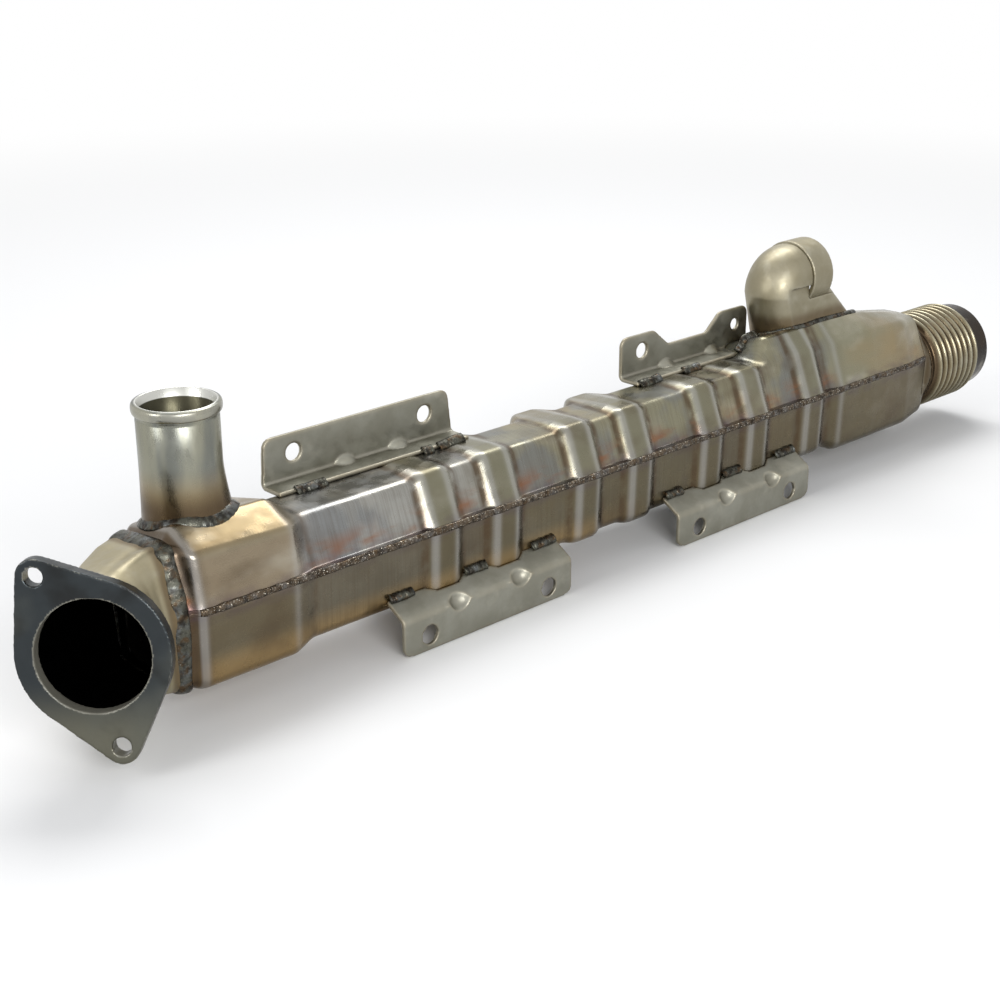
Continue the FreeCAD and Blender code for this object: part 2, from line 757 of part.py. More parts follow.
def full_rim(x, form, gap=0.0, flat=1):
    """Outline across both shells, moved inward by a gap and started at the ridge; flat = -1 cuts its corners straight."""
    up = upper_corners(form)
    down = [(y, -z) for y, z in lower_corners(form)]
    if gap:
        up = inset(up, gap)
        down = [(y, -z) for y, z in inset(lower_corners(form), gap)]
    ring = [up[2], up[1], up[0], down[1], down[3], up[4], up[3]]
    radius = (form["round"] - gap) * flat
    base = (form["base_round"] - gap) * flat
    return rounded([Vector(x, y, z) for y, z in ring], [0, radius, 0, base, base, 0, radius])


def inner_plate(name, start, thick):
    """A plate that fills the shells between two stations."""
    low_x, low = [station for station in stations if station[0] <= size(start)][-1]
    high_x, high = [station for station in stations if station[0] > size(start)][0]
    gap = size("shell_wall + fit")
    space = loft(name, [full_rim(low_x, low, gap, -1), full_rim(high_x, high, gap, -1)])
    return common(space, block("slab", (start, "%s + %s" % (start, thick)), ("-60", "60"), ("-60", "60")))


node(cut(inner_plate("inlet_plate", "inlet_sheet", "sheet_thick"), hole_body), "inlet_header")
node(cut(inner_plate("outlet_plate", "outlet_sheet", "sheet_thick"), hole_body), "outlet_header")
for place, name in enumerate(("baffle_first", "baffle_second", "baffle_third", "baffle_fourth"), start=1):
    plate = inner_plate("plate", name, "baffle_thick")
    window_low = "valley_top - shell_wall - baffle_window" if place % 2 else "-valley_base - 5"
    window_high = "outlet_ridge + 5" if place % 2 else "-valley_base + shell_wall + baffle_window / 2"
    window = block("window", (name + " - 1", name + " + baffle_thick + 1"), ("-50", "50"), (window_low, window_high))
    node(cut(plate, hole_body, window), "baffle_%d" % place)


# Gas inlet: a two-bolt flange square to the pipe that meets it, and a duct that turns into the shells

turn = math.radians(size("flange_turn"))
tilt = math.radians(size("flange_tilt"))
flange_centre = Vector(size("flange_x"), size("flange_y"), size("flange_z"))
flange_out = Vector(-math.cos(turn) * math.cos(tilt), -math.sin(turn) * math.cos(tilt), math.sin(tilt))
flange_across = Vector(math.sin(turn), -math.cos(turn), 0)
flange_up = flange_out.cross(flange_across)
flange_place = Placement(flange_centre, Rotation(flange_across, flange_up, flange_out, "ZXY"))


def flange_outline(sketch):
    """A round boss and two bolt ears joined by straight tangents."""
    boss = size("flange_round")
    ear = size("ear_radius")
    axis = Vector(0, 0, 1)
    ears = [("lower_bolt_across", "lower_bolt_up"), ("upper_bolt_across", "upper_bolt_up")]
    sides = []
    for across, up in ears:
        centre = Vector(size(across), size(up), 0)
        spread = math.acos((boss - ear) / centre.Length)
        heading = math.atan2(centre.y, centre.x)
        sides.append((centre, heading - spread, heading + spread))
    order = []
    for place, (centre, start, end) in enumerate(sides):
        before, after = (Vector(math.cos(angle), math.sin(angle), 0) for angle in (start, end))
        order.append(sketch.addGeometry(Part.LineSegment(before * boss, centre + before * ear)))
        order.append(sketch.addGeometry(Part.ArcOfCircle(Part.Circle(centre, axis, ear), start, end)))
        order.append(sketch.addGeometry(Part.LineSegment(centre + after * ear, after * boss)))
        following = sides[(place + 1) % 2][1]
        if following < end:
            following += 2 * math.pi
        order.append(sketch.addGeometry(Part.ArcOfCircle(Part.Circle(Vector(), axis, boss), end, following)))
    for place, geometry in enumerate(order):
        sketch.addConstraint(Sketcher.Constraint("Tangent", geometry, 2, order[(place + 1) % len(order)], 1))
    for place, (across, up) in enumerate(ears):
        hold(sketch, "DistanceX", order[4 * place + 1], 3, across)
        hold(sketch, "DistanceY", order[4 * place + 1], 3, up)
        sketch.addConstraint(Sketcher.Constraint("Coincident", order[4 * place + 3], 3, -1, 1))
        for geometry, radius in ((order[4 * place + 1], "ear_radius"), (order[4 * place + 3], "flange_round")):
            index = sketch.addConstraint(Sketcher.Constraint("Radius", geometry, size(radius)))
            sketch.setExpression("Constraints[%d]" % index, formula(radius))


flange = document.addObject("PartDesign::Body", "flange")
flange_sketch = sketch_on(flange, "XY_Plane")
flange_outline(flange_sketch)
circle(flange_sketch, "0", "0", "flange_bore")
circle(flange_sketch, "upper_bolt_across", "upper_bolt_up", "bolt_radius")
circle(flange_sketch, "lower_bolt_across", "lower_bolt_up", "bolt_radius")
pad(flange, flange_sketch, "flange_thick", reverse=True)
flange.Placement = flange_place
node(flange, "inlet_flange")

RIM_POINTS = 32


def ring_points(centre, across, up, radius):
    """Points of a circle from its top round towards the front."""
    angles = [2 * math.pi * place / RIM_POINTS for place in range(RIM_POINTS)]
    return [centre + up * (radius * math.cos(angle)) + across * (radius * math.sin(angle)) for angle in angles]


def swept(starts, start_way, ends, end_way, steps, tail=0.0):
    """A solid between two outlines whose points leave one way and arrive another, with a straight tail along X."""
    wires = []
    for place in range(steps + 1):
        share = place / steps
        leave = 2 * share**3 - 3 * share**2 + 1
        start_pull = share**3 - 2 * share**2 + share
        end_pull = share**3 - share**2
        points = [
            start * leave + end * (1 - leave) + start_way * start_pull + end_way * end_pull
            for start, end in zip(starts, ends)
        ]
        wires.append(smooth_wire(points))
    if tail:
        wires.append(smooth_wire([point + Vector(tail, 0, 0) for point in ends]))
    return Part.makeLoft(wires, True, True)


def smooth_wire(points):
    curve = Part.BSplineCurve()
    curve.interpolate(Points=points, PeriodicFlag=True)
    return Part.Wire(curve.toShape())


def inlet_duct(wall):
    starts = ring_points(flange_centre - flange_out * size("flange_thick"), flange_across, flange_up, size("duct_round") - wall)
    tail = size("end_bead_width")
    ends = full_rim(-tail, COLLAR, wall).discretize(Number=RIM_POINTS + 1)[:-1]
    return swept(starts, flange_out * -size("duct_pull"), ends, Vector(size("duct_pull"), 0, 0), 5, tail)


duct_outer = feature("duct_outer", inlet_duct(0.0))
duct_inner = feature("duct_inner", inlet_duct(size("duct_wall")))
node(cut(duct_outer, duct_inner), "inlet_transition")


def bead(name, form, steps):
    """A weld round both shells; each step is a place and how far the weld stands out there."""
    return loft(name, [full_rim(x, form, -reach) for x, reach in steps])


width = size("end_bead_width")
rise = size("end_bead")
weld_steps = [
    (-0.75 * width, 0.4 * rise), (-0.55 * width, 0.9 * rise), (-0.3 * width, rise),
    (0.05 * width, 0.8 * rise), (0.25 * width, 0.3 * rise),
]
weld_blank = bead("weld_blank", COLLAR, weld_steps)
weld_core = loft("weld_core", [full_rim(x, COLLAR, size("-lip_seat")) for x in (-width, width)])
node(cut(weld_blank, weld_core, duct_outer, upper_blank, lower_blank), "inlet_end_weld")

# Gas outlet: a cap that rounds the shells into a neck, bellows with a liner, and an end collar


def outlet_cap(wall):
    start = full_rim(size("shell_length"), END, wall).discretize(Number=RIM_POINTS + 1)[:-1]
    centre = Vector(size("shell_length + cap_length"), 0, size("gas_z"))
    end = ring_points(centre, Vector(0, -1, 0), Vector(0, 0, 1), size("neck_radius") - wall)
    pull = Vector(size("cap_length"), 0, 0)
    return swept(start, pull, end, pull, 3)


node(cut(feature("cap_outer", outlet_cap(0.0)), feature("cap_inner", outlet_cap(size("cap_wall")))), "outlet_cap")

START = "shell_length + cap_length"
folds = [(START, "neck_radius")]
for place in range(1, 9):
    crest = START + " + bellows_pitch * %d" % place
    folds += [(crest + " - bellows_pitch / 2", "neck_radius"), (crest, "bellows_crest")]
FINISH = START + " + bellows_pitch * 8 + 5"
folds += [(START + " + bellows_pitch * 8.5", "neck_radius"), (FINISH, "neck_radius")]
folds += [(FINISH, "neck_radius - bellows_wall"), (START, "neck_radius - bellows_wall")]
node(turned("convolutions", folds, "gas_z"), "bellows")

liner = "sleeve_radius - sleeve_wall"
seat = "neck_radius - bellows_wall - fit"
node(turned("liner", [
    (START + " + 0.5", seat), (START + " + 2", seat), (START + " + 4.5", "sleeve_radius"),
    (START + " + sleeve_length", "sleeve_radius"), (START + " + sleeve_length", liner),
    (START + " + 4", liner), (START + " + 1.5", seat + " - sleeve_wall"), (START + " + 0.5", seat + " - sleeve_wall"),
], "gas_z"), "bellows_sleeve")
node(turned("end_collar", [
    (FINISH, "end_collar_radius - end_collar_wall"), (FINISH, "end_collar_radius - 1"), (FINISH + " + 1", "end_collar_radius"),
    (FINISH + " + end_collar_length - 1", "end_collar_radius"), (FINISH + " + end_collar_length", "end_collar_radius - 1"),
    (FINISH + " + end_collar_length", "end_collar_radius - end_collar_wall"),
], "gas_z"), "bellows_end_collar")

# Mounting brackets: bent plates with two bolt holes each, welded on between the ribs

LEG_RISE = "((front_leg_z - front_bend_z) / (front_leg_y - front_plate_y))"
LEG_DROP = "(bracket_thick * sqrt(1 + %s * %s))" % (LEG_RISE, LEG_RISE)
AHEAD = Vector(1, 0, 0)
ASIDE = Vector(0, 1, 0)


def level_of(edge):
    return edge.CenterOfMass.y, edge.CenterOfMass.z


def dented(bent, inside, x, y, z):
    """Press a round dent into a bend from outside, with its wall standing out inside the bend."""
    hollow, lump = (
        solid("Part::Sphere", "dent", Radius=radius, Placement__Base__x=x, Placement__Base__y=y, Placement__Base__z=z)
        for radius in ("dent_radius", "dent_radius + bracket_thick")
    )
    return cut(fuse(bent, common(lump, inside)), hollow)


def front_bracket(name, centre, half, dents):
    """Plate that hangs below the shells' front corner, its leg fitted to the valleys and ribs."""
    profile = [
        ("front_plate_y", "front_low"), ("front_plate_y", "front_bend_z"), ("front_leg_y", "front_leg_z"),
        ("front_leg_y", "front_leg_z - " + LEG_DROP),
        ("front_plate_y + bracket_thick", "front_bend_z + %s * bracket_thick - %s" % (LEG_RISE, LEG_DROP)),
        ("front_plate_y + bracket_thick", "front_low"),
    ]
    angle = prism("angle", "YZ_Plane", profile, "%s - %s" % (centre, half), "%s + %s" % (centre, half))
    bends = (("bracket_bend", size("front_plate_y")), ("bracket_bend - bracket_thick", size("front_plate_y + bracket_thick")))
    for radius, y in bends:
        soften(angle, radius, lambda edge: runs_along(edge, AHEAD) and abs(level_of(edge)[0] - y) < 0.01
               and size("front_bend_z") - 5 < level_of(edge)[1] < size("front_bend_z") + 1)
    left = "%s - %s" % (centre, half)
    right = "%s + %s" % (centre, half)
    corners = [(left, "front_low"), (right, "front_low"), (right, "0"), (left, "0")]
    holes = [("%s %s front_spacing / 2" % (centre, sign), "front_hole_z", "front_hole") for sign in "-+"]
    face = prism("face", "XZ_Plane", corners, "0", "60", holes)
    soften(face, "bracket_corner", lambda edge: runs_along(edge, ASIDE) and edge.CenterOfMass.z < size("front_low") + 0.1)
    under = prism("under", "YZ_Plane", [profile[0], profile[1], profile[2], ("front_leg_y", "front_low")], left, right)
    bent = common(angle, face)
    for place in dents:
        bent = dented(bent, under, place, "front_plate_y - dent_offset", "front_bend_z + dent_offset")
    return node(cut(bent, lower_dome), name)


def rear_bracket(name, centre, corners, far_hole, dents):
    """Plate that stands behind the shells' rear top corner, its leg fitted to the valleys and ribs."""
    profile = [
        ("rear_leg_y", "valley_top"), ("rear_plate_y + bracket_thick", "valley_top"),
        ("rear_plate_y + bracket_thick", "rear_high"), ("rear_plate_y", "rear_high"),
        ("rear_plate_y", "valley_top + bracket_thick"), ("rear_leg_y", "valley_top + bracket_thick"),
    ]
    angle = prism("angle", "YZ_Plane", profile, corners[0][0], corners[-1][0])
    bends = (("bracket_bend", "rear_plate_y + bracket_thick"), ("bracket_bend - bracket_thick", "rear_plate_y"))
    for radius, y in bends:
        soften(angle, radius, lambda edge: runs_along(edge, AHEAD) and abs(level_of(edge)[0] - size(y)) < 0.01
               and level_of(edge)[1] < size("valley_top + bracket_thick") + 0.1)
    holes = [
        ("%s %s rear_spacing / 2" % (centre, sign), "rear_hole_z", hole)
        for sign, hole in (("-", "rear_hole"), ("+", far_hole))
    ]
    face = prism("face", "XZ_Plane", corners, "-60", "0", holes)
    soften(face, "bracket_corner", lambda edge: runs_along(edge, ASIDE) and edge.CenterOfMass.z > size("rear_dip") - 0.1)
    inside = prism("inside", "YZ_Plane", [profile[5], profile[4], profile[3], ("rear_leg_y", "rear_high")],
                   corners[0][0], corners[-1][0])
    bent = common(angle, face)
    for place in dents:
        bent = dented(bent, inside, place, "rear_plate_y + bracket_thick + dent_offset", "valley_top - dent_offset")
    return node(cut(bent, upper_dome, hood_weld), name)


front_bracket("front_left_bracket", "front_left_x", "front_half_span", ["front_left_x - 28", "front_left_x + 29"])
front_bracket(
    "front_right_bracket", "front_right_x", "front_right_half_span", ["front_right_x - 22", "front_right_x + 34"]
)
LEFT_ENDS = ("rear_left_x - rear_half_span", "rear_left_x + rear_half_span")
rear_bracket("rear_left_bracket", "rear_left_x", [
    (LEFT_ENDS[0], "valley_top"), (LEFT_ENDS[0] + " + 2", "rear_high"),
    (LEFT_ENDS[1] + " - 4", "rear_high"), (LEFT_ENDS[1], "valley_top"),
], "rear_hole", ["rear_left_x - 15", "rear_left_x + 31"])
RIGHT_ENDS = ("rear_right_x - rear_half_span + 2", "riser_x - riser_radius + 7")
rear_bracket("rear_right_bracket", "rear_right_x", [
    (RIGHT_ENDS[0], "valley_top"), (RIGHT_ENDS[0], "rear_high"), (RIGHT_ENDS[0] + " + 38", "rear_high"),
    (RIGHT_ENDS[0] + " + 55", "rear_dip"), (RIGHT_ENDS[1] + " - 51.5", "rear_dip"), (RIGHT_ENDS[1] + " - 35.5", "rear_high"),
    (RIGHT_ENDS[1], "rear_high"), (RIGHT_ENDS[1], "valley_top"),
], "rear_small_hole", ["rear_right_x - 29", "rear_right_x + 27"])

# Each node is checked and written

document.recompute()
os.makedirs("parts", exist_ok=True)
for item in document.Objects:
    if "Invalid" in item.State or "Error" in item.State:
        raise RuntimeError("not built: " + item.Name)
for item in nodes:
    if item.Shape.isNull() or not item.Shape.isValid():
        raise RuntimeError("no valid shape: " + item.Label)
    item.Shape.exportStep("parts/%s.step" % item.Label)
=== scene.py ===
import math

import bmesh
import bpy
import numpy as np
from mathutils import Euler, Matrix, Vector, noise
from mathutils.bvhtree import BVHTree


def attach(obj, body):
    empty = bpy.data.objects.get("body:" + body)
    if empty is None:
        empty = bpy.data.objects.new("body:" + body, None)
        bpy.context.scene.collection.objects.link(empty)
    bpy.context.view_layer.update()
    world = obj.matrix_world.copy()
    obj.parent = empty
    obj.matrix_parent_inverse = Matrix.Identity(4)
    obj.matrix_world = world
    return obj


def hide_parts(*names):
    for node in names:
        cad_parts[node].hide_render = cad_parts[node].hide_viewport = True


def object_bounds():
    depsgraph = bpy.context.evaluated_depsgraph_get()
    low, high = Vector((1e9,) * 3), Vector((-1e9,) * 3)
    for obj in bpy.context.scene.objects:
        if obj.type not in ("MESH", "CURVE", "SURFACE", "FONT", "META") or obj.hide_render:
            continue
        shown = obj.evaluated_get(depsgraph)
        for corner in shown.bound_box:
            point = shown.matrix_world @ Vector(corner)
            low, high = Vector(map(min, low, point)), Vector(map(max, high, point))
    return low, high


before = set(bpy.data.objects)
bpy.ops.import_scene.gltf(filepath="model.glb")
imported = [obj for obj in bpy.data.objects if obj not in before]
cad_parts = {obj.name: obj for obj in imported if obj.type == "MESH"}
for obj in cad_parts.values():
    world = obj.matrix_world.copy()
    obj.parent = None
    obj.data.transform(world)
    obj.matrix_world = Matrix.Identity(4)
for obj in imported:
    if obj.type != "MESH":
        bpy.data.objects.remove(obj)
cad_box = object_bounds()

MM = 0.001
# The drawing is in mm about the cooler's middle line: x along it from the inlet end, z = 0 at the seam.
# The frame's origin lies here in the drawing.
HOME = np.array((232.0, -49.5, -65.7))


def place(points):
    """Points of the drawing, in mm, as points of the frame, in metres."""
    return (np.asarray(points, float) - HOME) * MM


# Making meshes

# A bend this sharp, as height over the distance between points, is painted as a full edge or corner,
# mostly a painted highlight or painted shade
EDGE_BEND = 0.16
# The bends are evened out so many times
BEND_PASSES = 3
# A normal this far toward the axis of a bore counts as its inside
INSIDE = -0.3


def solid(name, points, faces, material, replaces):
    """A closed piece from points in the drawing and faces, riding on the cooler."""
    mesh = bpy.data.meshes.new(name)
    mesh.from_pydata(place(points).tolist(), [], faces)
    mesh.validate()
    piece = bpy.data.objects.new(name, mesh)
    bpy.context.scene.collection.objects.link(piece)
    finish_piece(piece, material, replaces)
    return piece


def finish_piece(piece, material, replaces):
    """Turn a mesh's faces outward and give the piece its look, body and replaced nodes."""
    mesh = piece.data
    tidy = bmesh.new()
    tidy.from_mesh(mesh)
    bmesh.ops.recalc_face_normals(tidy, faces=tidy.faces)
    tidy.to_mesh(mesh)
    tidy.free()
    mesh.polygons.foreach_set("use_smooth", [True] * len(mesh.polygons))
    mesh.materials.clear()
    mesh.materials.append(material)
    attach(piece, "root")
    if replaces:
        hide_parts(*replaces)


def keep_colours(piece, name, shares):
    """Keep three shares for each point as the red, green and blue of a colour attribute."""
    attribute = piece.data.color_attributes.new(name, "FLOAT_COLOR", "POINT")
    attribute.data.foreach_set("color", np.column_stack((*shares, np.ones(len(shares[0])))).ravel())


def paint_light_shade_and_wear(piece, edge, corner, inside):
    """Keep three shares for each point, for painted light and wear: outward edges, inward corners and
    the inside of a pipe.
    """
    shares = [np.clip(share, 0, 1) for share in (edge, corner, inside)]
    keep_colours(piece, "light_shade_and_wear", shares)


def points_of(piece):
    points = np.empty(len(piece.data.vertices) * 3)
    piece.data.vertices.foreach_get("co", points)
    return points.reshape(-1, 3)


def paint_bend_light_and_shade(piece, axis):
    """Find where an evenly meshed skin bends, and where it faces an axis: a point and a direction. Keep
    them mostly for painted highlight on outward bends and painted shade in inward bends and bores.
    """
    mesh = piece.data
    count = len(mesh.vertices)
    points = points_of(piece)
    normals = np.array([vertex.normal for vertex in mesh.vertices])
    pairs = np.empty(len(mesh.edges) * 2, int)
    mesh.edges.foreach_get("vertices", pairs)
    first, second = pairs.reshape(-1, 2).T
    share = np.maximum(np.bincount(first, minlength=count) + np.bincount(second, minlength=count), 1)

    def beside(values):
        total = np.bincount(first, values[second], count) + np.bincount(second, values[first], count)
        return total / share

    nearby = np.stack([beside(line) for line in points.T], axis=1)
    reach = np.linalg.norm(points[first] - points[second], axis=1).mean()
    bend = ((points - nearby) * normals).sum(axis=1) / reach
    for _ in range(BEND_PASSES):
        bend = 0.5 * bend + 0.5 * beside(bend)
    inside = np.zeros(count)
    if axis:
        start, way = (np.asarray(part, float) for part in axis)
        way = way / np.linalg.norm(way)
        away = points / MM + HOME - start
        away -= (away @ way)[:, None] * way
        away /= np.linalg.norm(away, axis=1)[:, None]
        inside = ((normals * away).sum(axis=1) < INSIDE).astype(float)
    paint_light_shade_and_wear(piece, bend / EDGE_BEND, -bend / EDGE_BEND, inside)


def rings(name, loops, material, replaces, closed=False):
    """A skin over equal closed loops of points, with flat ends or joined end to end."""
    count = len(loops[0])
    points = np.concatenate([np.asarray(loop, float) for loop in loops])
    faces = []
    last = len(loops) if closed else len(loops) - 1
    for row in range(last):
        here = row * count
        there = (row + 1) % len(loops) * count
        for step in range(count):
            after = (step + 1) % count
            faces.append((here + step, here + after, there + after, there + step))
    if not closed:
        faces.append(tuple(range(count)))
        faces.append(tuple(len(points) - 1 - step for step in range(count)))
    return solid(name, points, faces, material, replaces)


def softened(node, material, grain, passes, axis=None):
    """The CAD piece's skin rebuilt in small even faces, with its edges eased over some passes."""
    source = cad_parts[node]
    piece = bpy.data.objects.new(node + "_eased", source.data.copy())
    bpy.context.scene.collection.objects.link(piece)
    rebuild = piece.modifiers.new("rebuild", "REMESH")
    rebuild.mode = "VOXEL"
    rebuild.voxel_size = grain * MM
    ease = piece.modifiers.new("ease", "SMOOTH")
    ease.factor = 0.5
    ease.iterations = passes
    shown = bpy.context.evaluated_depsgraph_get()
    piece.data = bpy.data.meshes.new_from_object(piece.evaluated_get(shown))
    piece.modifiers.clear()
    finish_piece(piece, material, (node,))
    paint_bend_light_and_shade(piece, axis)


# Materials

def colour(red, green, blue):
    """A colour of 0 to 255 as it looks on a screen, in the shader's own scale."""
    def linear(value):
        value /= 255
        return value / 12.92 if value <= 0.04045 else ((value + 0.055) / 1.055) ** 2.4
    return (linear(red), linear(green), linear(blue), 1)


class Finish:
    """A material built up in layers over one metal colour."""

    def __init__(self, name, base):
        self.material = bpy.data.materials.new(name)
        self.material.use_nodes = True
        self.tree = self.material.node_tree
        self.shader = self.tree.nodes["Principled BSDF"]
        self.shader.inputs["Metallic"].default_value = 1.0
        self.place = self.add("ShaderNodeTexCoord").outputs["Object"]
        self.colour = base
        self.bumps = []

    def add(self, kind, values=(), **settings):
        node = self.tree.nodes.new(kind)
        for name, value in settings.items():
            setattr(node, name, value)
        for name, value in dict(values).items():
            if isinstance(value, bpy.types.NodeSocket):
                self.tree.links.new(value, node.inputs[name])
            else:
                node.inputs[name].default_value = value
        return node

    def cloud(self, size, detail=3.0, stretch=(1, 1, 1), low=0.35, high=0.65, offset=0.0):
        """Soft patches of about size mm, 0 to 1, drawn out along an axis by stretch."""
        scale = [1 / (size * MM * part) for part in stretch]
        moved = self.add("ShaderNodeMapping", {
            "Vector": self.place, "Location": (offset,) * 3, "Scale": scale,
        })
        cloud = self.add("ShaderNodeTexNoise", {
            "Vector": moved.outputs[0], "Scale": 1.0, "Detail": detail,
        })
        return self.range(cloud.outputs["Fac"], low, high)

    def range(self, value, low, high, start=0.0, end=1.0):
        node = self.add("ShaderNodeMapRange", {
            "Value": value, "From Min": low, "From Max": high, "To Min": start, "To Max": end,
        }, interpolation_type="SMOOTHSTEP")
        return node.outputs["Result"]

    def maths(self, operation, first, second):
        node = self.add("ShaderNodeMath", {0: first, 1: second}, operation=operation)
        return node.outputs[0]

    def axis(self, name):
        """The drawing's x, y or z in mm at each point of the surface."""
        split = self.add("ShaderNodeSeparateXYZ", {"Vector": self.place})
        scaled = self.maths("DIVIDE", split.outputs[name.upper()], MM)
        return self.maths("ADD", scaled, float(HOME["xyz".index(name)]))

    def painted(self, channel, name="light_shade_and_wear"):
        """A share worked out for each point of the mesh when it was made."""
        share = self.add("ShaderNodeAttribute", attribute_name=name)
        split = self.add("ShaderNodeSeparateColor", {"Color": share.outputs["Color"]})
        return split.outputs[channel]

    def layer(self, tint, share):
        """Lay a colour over what is there, as far as share says."""
        mix = self.tree.nodes.new("ShaderNodeMix")
        mix.data_type = "RGBA"
        for number, value in ((0, share), (6, self.colour), (7, tint)):
            socket = mix.inputs[number]
            if isinstance(value, bpy.types.NodeSocket):
                self.tree.links.new(value, socket)
            else:
                socket.default_value = value
        self.colour = mix.outputs[2]
        return self

    def rough(self, share, low, high):
        self.tree.links.new(self.range(share, 0, 1, low, high), self.shader.inputs["Roughness"])
        return self

    def bump(self, height, depth):
        """Raise the surface by height times depth mm."""
        self.bumps.append((height, depth))
        return self

    def done(self):
        if isinstance(self.colour, bpy.types.NodeSocket):
            self.tree.links.new(self.colour, self.shader.inputs["Base Color"])
        else:
            self.shader.inputs["Base Color"].default_value = self.colour
        normal = None
        for height, depth in self.bumps:
            values = {"Height": height, "Distance": depth * MM, "Strength": 1.0}
            if normal:
                values["Normal"] = normal
            normal = self.add("ShaderNodeBump", values).outputs["Normal"]
        if normal:
            self.tree.links.new(normal, self.shader.inputs["Normal"])
        return self.material


OLIVE = colour(134, 131, 111)
PALE = colour(188, 184, 170)
HIGHLIGHT = colour(196, 197, 196)
GOLD = colour(156, 130, 88)
COPPER = colour(134, 88, 58)
BROWN = colour(82, 68, 52)
VIOLET = colour(80, 66, 80)
STEEL_BLUE = colour(108, 112, 116)
SILVER = colour(160, 160, 158)
WARM = colour(140, 124, 104)
SCORCHED = colour(130, 108, 74)
SHADED = colour(92, 84, 66)
DULL = colour(112, 109, 92)
SOOT = colour(34, 31, 28)
SHADE_BLACK = colour(9, 9, 9)


def stamped_steel():
    """Stainless sheet after brazing: olive grey with straw and brown clouds.

    It is copper and violet by the seam, warmer on the inlet chamber, silvery in the first valleys
    and dull on the ribs.
    """
    finish = Finish("stamped_steel", OLIVE)

    def share(amount, *parts):
        for part in parts:
            amount = finish.maths("MULTIPLY", part, amount)
        return amount

    recess = finish.painted("Blue", "tint")
    along, height = finish.axis("x"), finish.axis("z")
    under = finish.range(height, 3, -6)
    finish.layer(GOLD, share(0.5, finish.cloud(60, 3, (2.4, 1, 1), 0.42, 0.7)))
    finish.layer(WARM, share(0.75, finish.range(along, 112, 92), finish.range(height, 40, 28)))
    finish.layer(SCORCHED, share(0.65, finish.range(along, 230, 170), finish.range(height, 31, 37)))
    finish.layer(PALE, share(0.4, finish.cloud(30, 3, (1.6, 1, 1), 0.5, 0.75, 4.0)))
    between_chambers = share(1, finish.range(along, 108, 130), finish.range(along, 655, 635))
    finish.layer(DULL, share(0.6, finish.range(recess, 0.6, 0), between_chambers))
    finish.layer(SILVER, share(0.75, recess, finish.range(along, 320, 200)))
    finish.layer(STEEL_BLUE, share(0.6, recess, finish.cloud(34, 3, (1, 1, 1.5), 0.45, 0.62, 7.0)))
    finish.layer(SHADED, share(0.85, under))
    finish.layer(GOLD, share(0.7, finish.range(height, -26, -44), finish.range(along, 420, 300)))
    finish.layer(BROWN, share(0.45, finish.cloud(36, 4, (1.5, 1, 1), 0.5, 0.75, 9.0)))
    draw_lines = finish.cloud(0.9, 3, (1, 40, 40), 0.35, 0.7, 5.0)
    finish.layer(BROWN, share(0.22, draw_lines, recess))
    # Inward bends at the ribs' feet are darkened in patches as painted shade
    corner_shade_patches = finish.cloud(14, 3, (1, 1, 1), 0.25, 0.6, 1.0)
    finish.layer(BROWN, share(0.85, finish.painted("Green"), corner_shade_patches))
    finish.layer(BROWN, share(0.8, finish.range(along, 20, 6)))
    low_heat = finish.cloud(9, 3, (3, 1, 1), 0.4, 0.68, 2.0)
    finish.layer(COPPER, share(0.7, finish.painted("Green", "tint"), low_heat))
    seam_heat = finish.cloud(7, 3, (2, 1, 1), 0.3, 0.65, 6.0)
    finish.layer(VIOLET, share(0.5, finish.painted("Red", "tint"), seam_heat))
    # Outward bends, such as the ribs' shoulders, are paler: a painted highlight
    finish.layer(HIGHLIGHT, share(0.28, finish.painted("Red")))
    # The inner skin, seen only through the duct, is painted black as shade
    finish.layer(SHADE_BLACK, finish.painted("Blue"))
    scratches = finish.cloud(0.35, 2, (60, 1, 1), 0.3, 0.7)
    finish.rough(finish.cloud(12, 3, (1.5, 1, 1), 0.3, 0.7, 3.0), 0.22, 0.36)
    finish.bump(scratches, 0.006).bump(draw_lines, 0.01)
    finish.bump(finish.cloud(1.4, 2), 0.008).bump(finish.cloud(20, 1), 0.2)
    return finish.done()


def plain_steel(name, base, tint, roughness, edge=PALE, edges=0.3, corner_shade=0.7, inside=None, heat=None):
    """Steel with clouds of a second colour, edges in the edge colour, inward corners darkened as
    painted shade and heat marks toward a weld.

    heat names an axis, where the marks start and end along it, and their colours in turn.
    """
    finish = Finish(name, base)
    finish.layer(tint, finish.maths("MULTIPLY", finish.cloud(24, 4), 0.55))
    finish.layer(PALE, finish.maths("MULTIPLY", finish.cloud(15, 3, (1, 1, 1), 0.55, 0.75, 5.0), 0.25))
    if heat:
        along, start, end, colours = heat
        spot = finish.axis(along)
        for step, warm in enumerate(colours):
            far = end + (start - end) * step / len(colours)
            finish.layer(warm, finish.maths("MULTIPLY", finish.range(spot, start, far), 0.6))
    # Inward bends darkened as painted shade
    finish.layer(BROWN, finish.maths("MULTIPLY", finish.painted("Green"), corner_shade))
    # Outward bends take the edge colour: a painted highlight by default, on the brackets a heat tint
    finish.layer(edge, finish.maths("MULTIPLY", finish.painted("Red"), edges))
    # The inside of a bore is painted as shade
    if inside:
        finish.layer(inside, finish.painted("Blue"))
    finish.rough(finish.cloud(7, 4, (1, 1, 1), 0.3, 0.7, 3.0), *roughness)
    finish.bump(finish.cloud(0.5, 2), 0.01).bump(finish.cloud(16, 1), 0.08)
    return finish.done()


